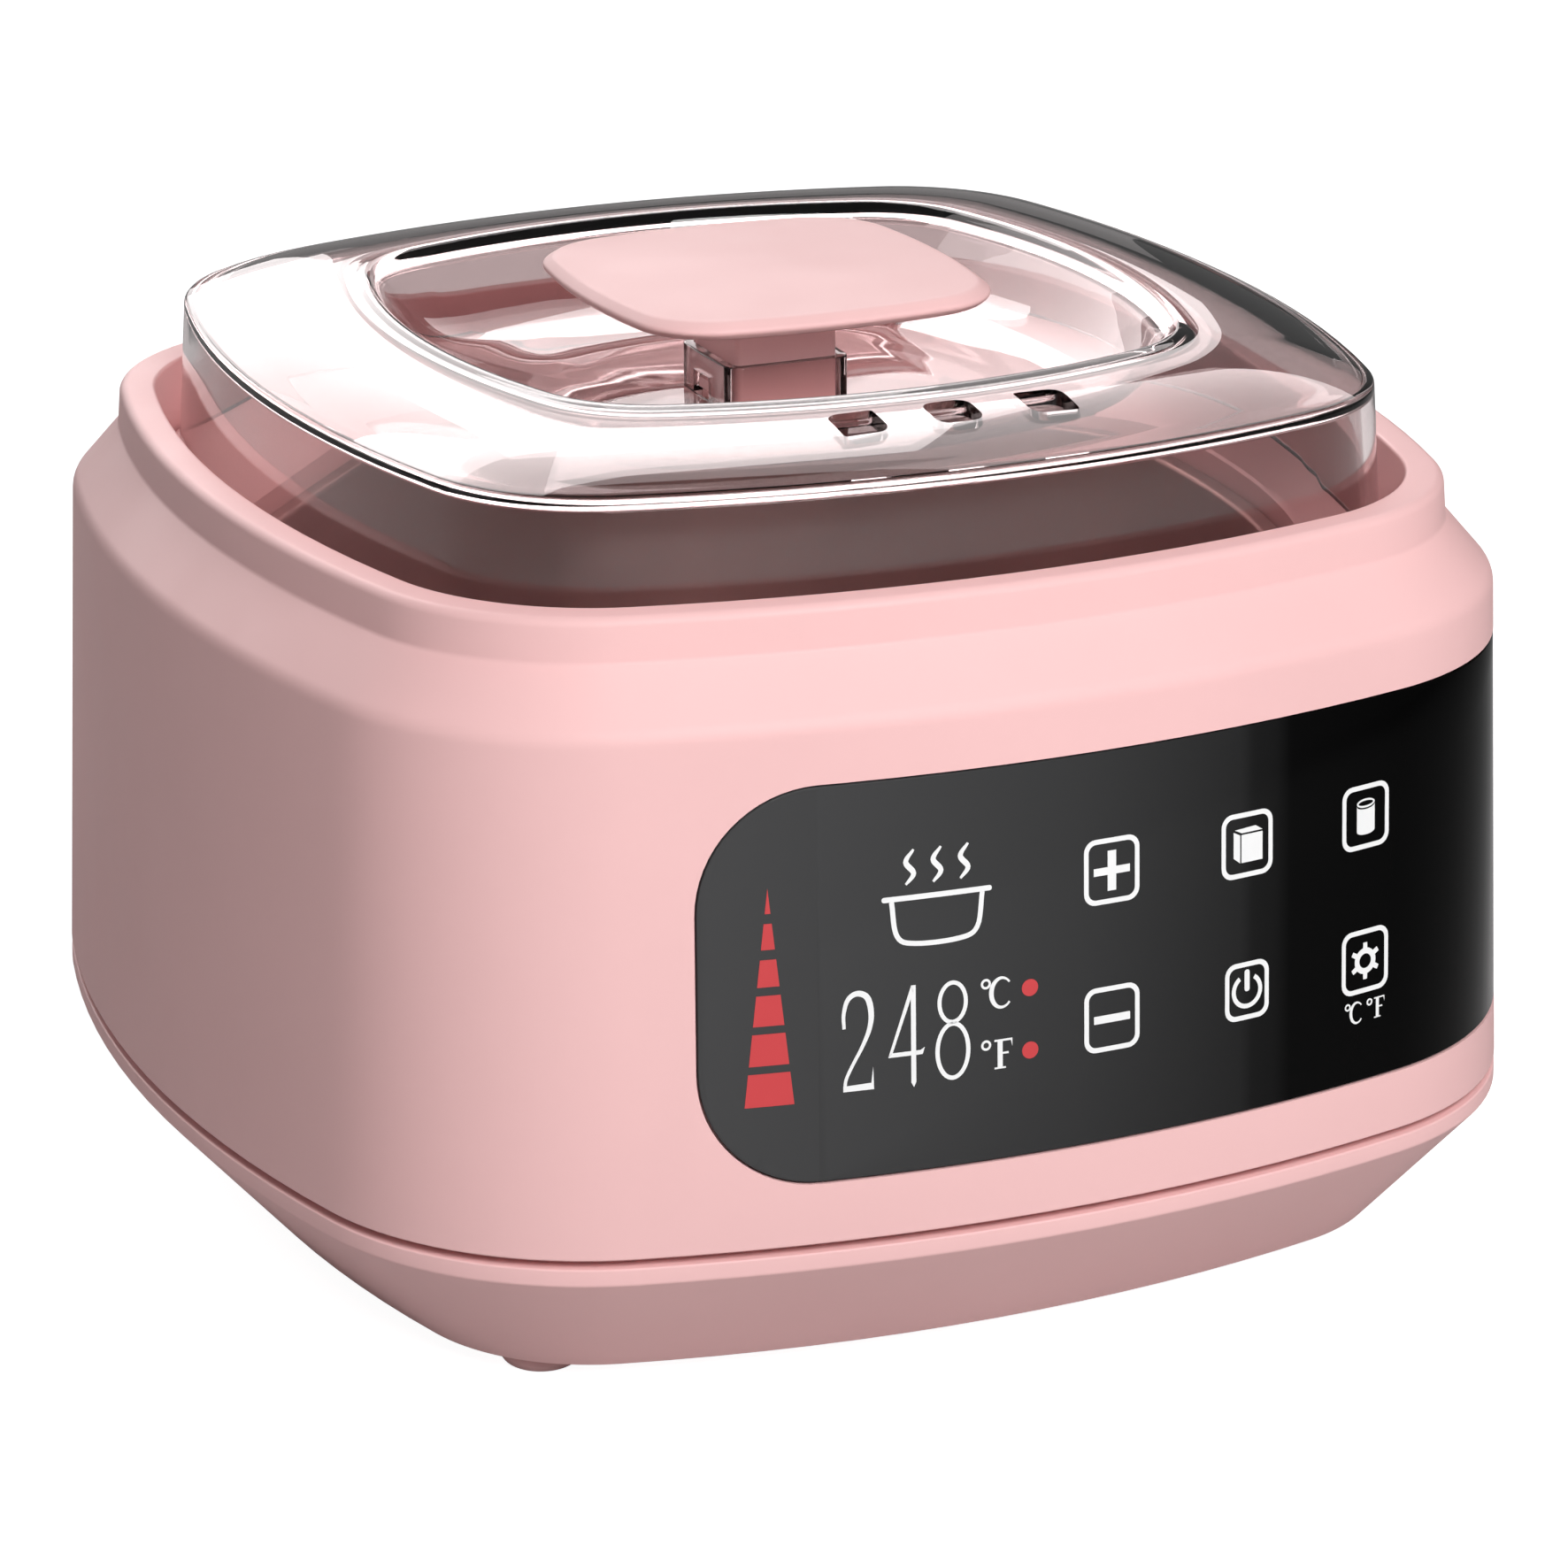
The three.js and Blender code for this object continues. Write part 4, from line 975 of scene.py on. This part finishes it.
def make_panel():
    glass = wrapped("touch_panel", [(panel_outline(0), None)], PANEL_FRONT, PANEL_T, 0.3)
    place(glass, "housing", "panel_gloss", ["control_panel"])
    first, second, third = KEY_COLUMNS
    low_row, high_row = KEY_ROWS
    icons = [*plus_icon(first, high_row), *cube_icon(second, high_row), *cylinder_icon(third, high_row),
             *minus_icon(first, low_row), *power_icon(second, low_row), *gear_icon(third, low_row)]
    dots = [(arc(DOT_S, z, DOT_R, DOT_R, 0, 360, 28)[:-1], None) for z in DOT_ROWS]
    prints = {
        "key_icons": (icons, print_white), "pot_mark": (pot_icon(-17.8, 79.3), print_white),
        "digits": (digits(), print_white), "unit_marks": (unit_marks(), print_white),
        "level_bars": (level_bars(), print_red), "unit_dots": (dots, print_red),
    }
    for name, (marks, finish) in prints.items():
        place(wrapped(name, marks, 0.0, PRINT_T), "housing", "panel_gloss", finish=finish)


# ------------------------------------------------------------------ bowl and pot
BOWL_SHOULDER = (83.5, 94.5)  # (radius, z) at the top of the outside wall
TAB_LOW_Z, TAB_HIGH_Z = 96.2, 97.7


def make_bowl():
    outer = rounded([(0, 47.0, 0), (77.6, 47.0, 4), (*BOWL_SHOULDER, 1), (83.7, TAB_LOW_Z, 0.4),
                     (86.2, TAB_LOW_Z, 0), (86.2, TAB_HIGH_Z, 0.4), (83.9, TAB_HIGH_Z, 0.4),
                     (83.9, 99.5, 0.4), (82.4, 99.5, 0.4), (76.3, 48.5, 2.6), (0, 48.5, 0)])
    bowl = turned("heating_bowl_spun", [tuple(p) for p in outer], False, 160)
    tabs = []
    for i in range(4):
        tab = prism("tab", rounded_box(84.5, -4.5, 97.5, 4.5, 1.2), TAB_LOW_Z, TAB_HIGH_Z)
        tab.data.transform(Matrix.Rotation(math.radians(RING_SCREW_ANGLE + 90 * i), 4, "Z"))
        tabs.append(tab)
    join(bowl, *tabs)
    cut(bowl, *[rod("hole", 1.8, 95, 99, x, y, 24) for x, y in ring_screws])
    place(bowl, "housing", "bowl_aluminium", ["heating_bowl"])


def make_pot():
    profile = rounded([(0, 49.2, 0), (74.6, 49.2, 2.6), (81.4, 99.8, 0), (83.5, 99.8, 0.5),
                       (83.5, 101.2, 0.6), (80.2, 101.2, 0.8), (73.3, 50.7, 2.2), (0, 50.7, 0)], 6)
    pot = turned("wax_pot", [tuple(p) for p in profile], False, 160)
    place(pot, "pot", "non_stick_coating", ["inner_pot"])


# ------------------------------------------------------------------ lid and knob
def square_hole(place_along):
    """A vent outline; its corners on one diagonal are tighter than those on the other."""
    h, soft, tight = VENT_SIZE / 2, 2.2, 0.6
    rising = tight if place_along < 0 else soft
    falling = tight if place_along > 0 else soft
    x = place_along * VENT_PITCH
    corners = ((1, -1, falling, -90), (1, 1, rising, 0), (-1, 1, falling, 90), (-1, -1, rising, 180))
    return [p for sx, sy, r, start in corners
            for p in arc(x + sx * (h - r), VENT_Y + sy * (h - r), r, r, start, start + 90, 6)]


LID_EDGE_HALF = 83.0
LID_INNER_HALF, LID_INNER_Z = 81.0, 134.5
SKIRT_FOOT_Z = 112.6
BROW_HALF, BROW_Z = 59.8, 141.7
CROWN_STEPS, CROWN_CURVE = 14, 2.4


def crown(t):
    """Height of the crown at a share of the way from the lid's edge to the brow of the dish."""
    return LID_EDGE_Z + (BROW_Z - LID_EDGE_Z) * (1 - (1 - t) ** CROWN_CURVE)


def lid_levels():
    """The lid's skin, from the skirt's foot over the crown into the dish and back underneath."""
    edge = level(LID, LID_EDGE_HALF, LID_EDGE_Z)
    brow = level(DISH, BROW_HALF, BROW_Z)
    inner_edge = level(LID, LID_INNER_HALF, LID_INNER_Z)
    inner_brow = level(DISH, 59.6, 139.3)
    shares = [i / CROWN_STEPS for i in range(1, CROWN_STEPS)]
    skirt = run(LID, [(LID_EDGE_HALF, SKIRT_FOOT_Z, 0), (85.2, SKIRT_FOOT_Z, 0.6), (83.65, 136.55, 1.1),
                      (LID_EDGE_HALF, LID_EDGE_Z, 0)], 6)[:-1]
    top = [mixed(edge, brow, t, crown(t)) for t in shares]
    lip = smooth([(BROW_HALF, BROW_Z), (59.0, 142.0), (58.0, 142.1), (57.0, 141.5), (56.0, 139.9),
                  (54.6, 137.4), (52.4, 134.2), (49.5, 131.6), (45.6, 129.7), (41, 128.5), (34.5, 127.3),
                  (28, DISH_FLOOR_Z)], 3)
    back = smooth([(28.4, 124.5), (35, 125.1), (41.8, 126.2), (47, 127.6), (51.2, 129.9), (54.2, 133),
                   (56.6, 136.6), (57.8, 138.4), (59.6, 139.3)], 3)
    floor = [(14, DISH_FLOOR_Z), (0, DISH_FLOOR_Z), (0, DISH_FLOOR_Z - LID_T), (14, DISH_FLOOR_Z - LID_T)]
    below = [mixed(inner_edge, inner_brow, t, crown(t) - LID_T) for t in reversed(shares)]
    inside = run(LID, [(LID_INNER_HALF, LID_INNER_Z, 0), (81.7, 134.0, 0.5),
                       (LID_EDGE_HALF, SKIRT_FOOT_Z, 0)])[:-1]
    dish = [level(DISH, p[0], p[1]) for p in (*lip, *floor, *back)]
    return [*skirt, edge, *top, *dish, *below, *inside]


def make_lid():
    lid = moulded("clear_lid", lid_levels())
    block = run(STEM, [(SOCKET_HALF, SOCKET_FOOT_Z, 0), (SOCKET_HALF, SOCKET_TOP_Z, 0.3),
                       (STEM_HALF, SOCKET_TOP_Z, 0)])
    socket = moulded("socket", [level(ROUND, 0, SOCKET_FOOT_Z), *block, level(ROUND, 0, SOCKET_TOP_Z)], False)
    join(lid, socket)
    pocket_half, pocket_top_z = STEM_HALF + 0.3, 140
    pocket = moulded("pocket", [level(ROUND, 0, DISH_FLOOR_Z), level(STEM, pocket_half, DISH_FLOOR_Z),
                                level(STEM, pocket_half, pocket_top_z), level(ROUND, 0, pocket_top_z)], False)
    slot = prism("clip_slot", rounded_box(-SOCKET_HALF - 2, -2, -SOCKET_HALF + 2, 4, 0.3), 127.0, 130.6)
    vents = [prism(f"vent_{i}", square_hole(i), 133, 147) for i in (-1, 0, 1)]
    cut(lid, pocket, slot, *vents)
    place(lid, "lid", "lid_clear", ["lid_shell"], sharp=38)


KNOB_UNDER_Z = 143.9
KNOB_RIM_HALF, KNOB_RIM_Z = 29.3, 146.75
KNOB_CROWN = 0.85
KNOB_TOP_Z = KNOB_RIM_Z + KNOB_CROWN


def make_knob():
    profile = rounded([(0, KNOB_UNDER_Z, 0), (29.9, KNOB_UNDER_Z, 1.2), (31.2, 145.3, 0.7),
                       (KNOB_RIM_HALF, KNOB_RIM_Z, 1.5), (0, KNOB_TOP_Z, 0)], 6)
    rim = [p for p in profile if p.x > 0]
    top = [Vector((half, KNOB_RIM_Z + KNOB_CROWN * (1 - (half / KNOB_RIM_HALF) ** 2)))
           for half in (24, 18, 12, 6)]
    levels = [level(ROUND, 0, KNOB_UNDER_Z), *[level(KNOB, p.x, p.y) for p in (*rim, *top)],
              level(ROUND, 0, KNOB_TOP_Z)]
    plate = moulded("knob_top", levels, False)
    place(plate, "lid", "knob_plastic", ["knob_plate"])
    low, high = (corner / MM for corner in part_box("knob_stem"))
    lead_in = 0.3
    post = run(STEM, [(STEM_HALF - lead_in, low.z, 0), (STEM_HALF, low.z + lead_in, 0),
                      (STEM_HALF, high.z, 0)])
    stem = moulded("knob_post", [level(ROUND, 0, low.z), *post, level(ROUND, 0, high.z)], False)
    catch = prism("catch", rounded_box(low.x, -1.3, -STEM_HALF + 1, 3.3, 0.2), 128.0, 129.6)
    join(stem, catch)
    place(stem, "lid", "knob_plastic", ["knob_stem"])


# ------------------------------------------------------------------ mains inlet
def make_inlet():
    centre_z = 45.0
    box = prism("mains_socket", rounded_box(-12, -8.5, 12, 8.5, 1.2), -103.6, -83.1)
    flange = prism("flange", rounded_box(-15.5, -12, 15.5, 12, 4), -99.3, -97.3)
    join(box, flange)
    cut(box, prism("mouth", rounded_box(-7.9, -4.2, 7.9, 4.2, 4.1, 10), -110, -86.5),
        *[rod("pin_hole", 1.5, -88, -80, x, 0, 24) for x in (-4.3, 4.3)])
    soften(box, 0.35)
    turn = Matrix.Translation((0, 0, centre_z * MM)) @ Matrix.Rotation(QUARTER, 4, "X")
    box.data.transform(turn)
    place(box, "housing", "black_plastic", ["mains_inlet"])


make_shell()
make_base()
make_deck()
make_feet()
make_panel()
make_bowl()
make_pot()
make_lid()
make_knob()
make_inlet()

# ------------------------------------------------------------------ the CAD pieces that stay
node_slot = {part["node"]: part["material_slot"] for part in frame["record"]["subparts"]}
for node, obj in frame["nodes"].items():
    for holder in obj.material_slots:
        holder.material = SLOT_FINISH[node_slot[node]].material
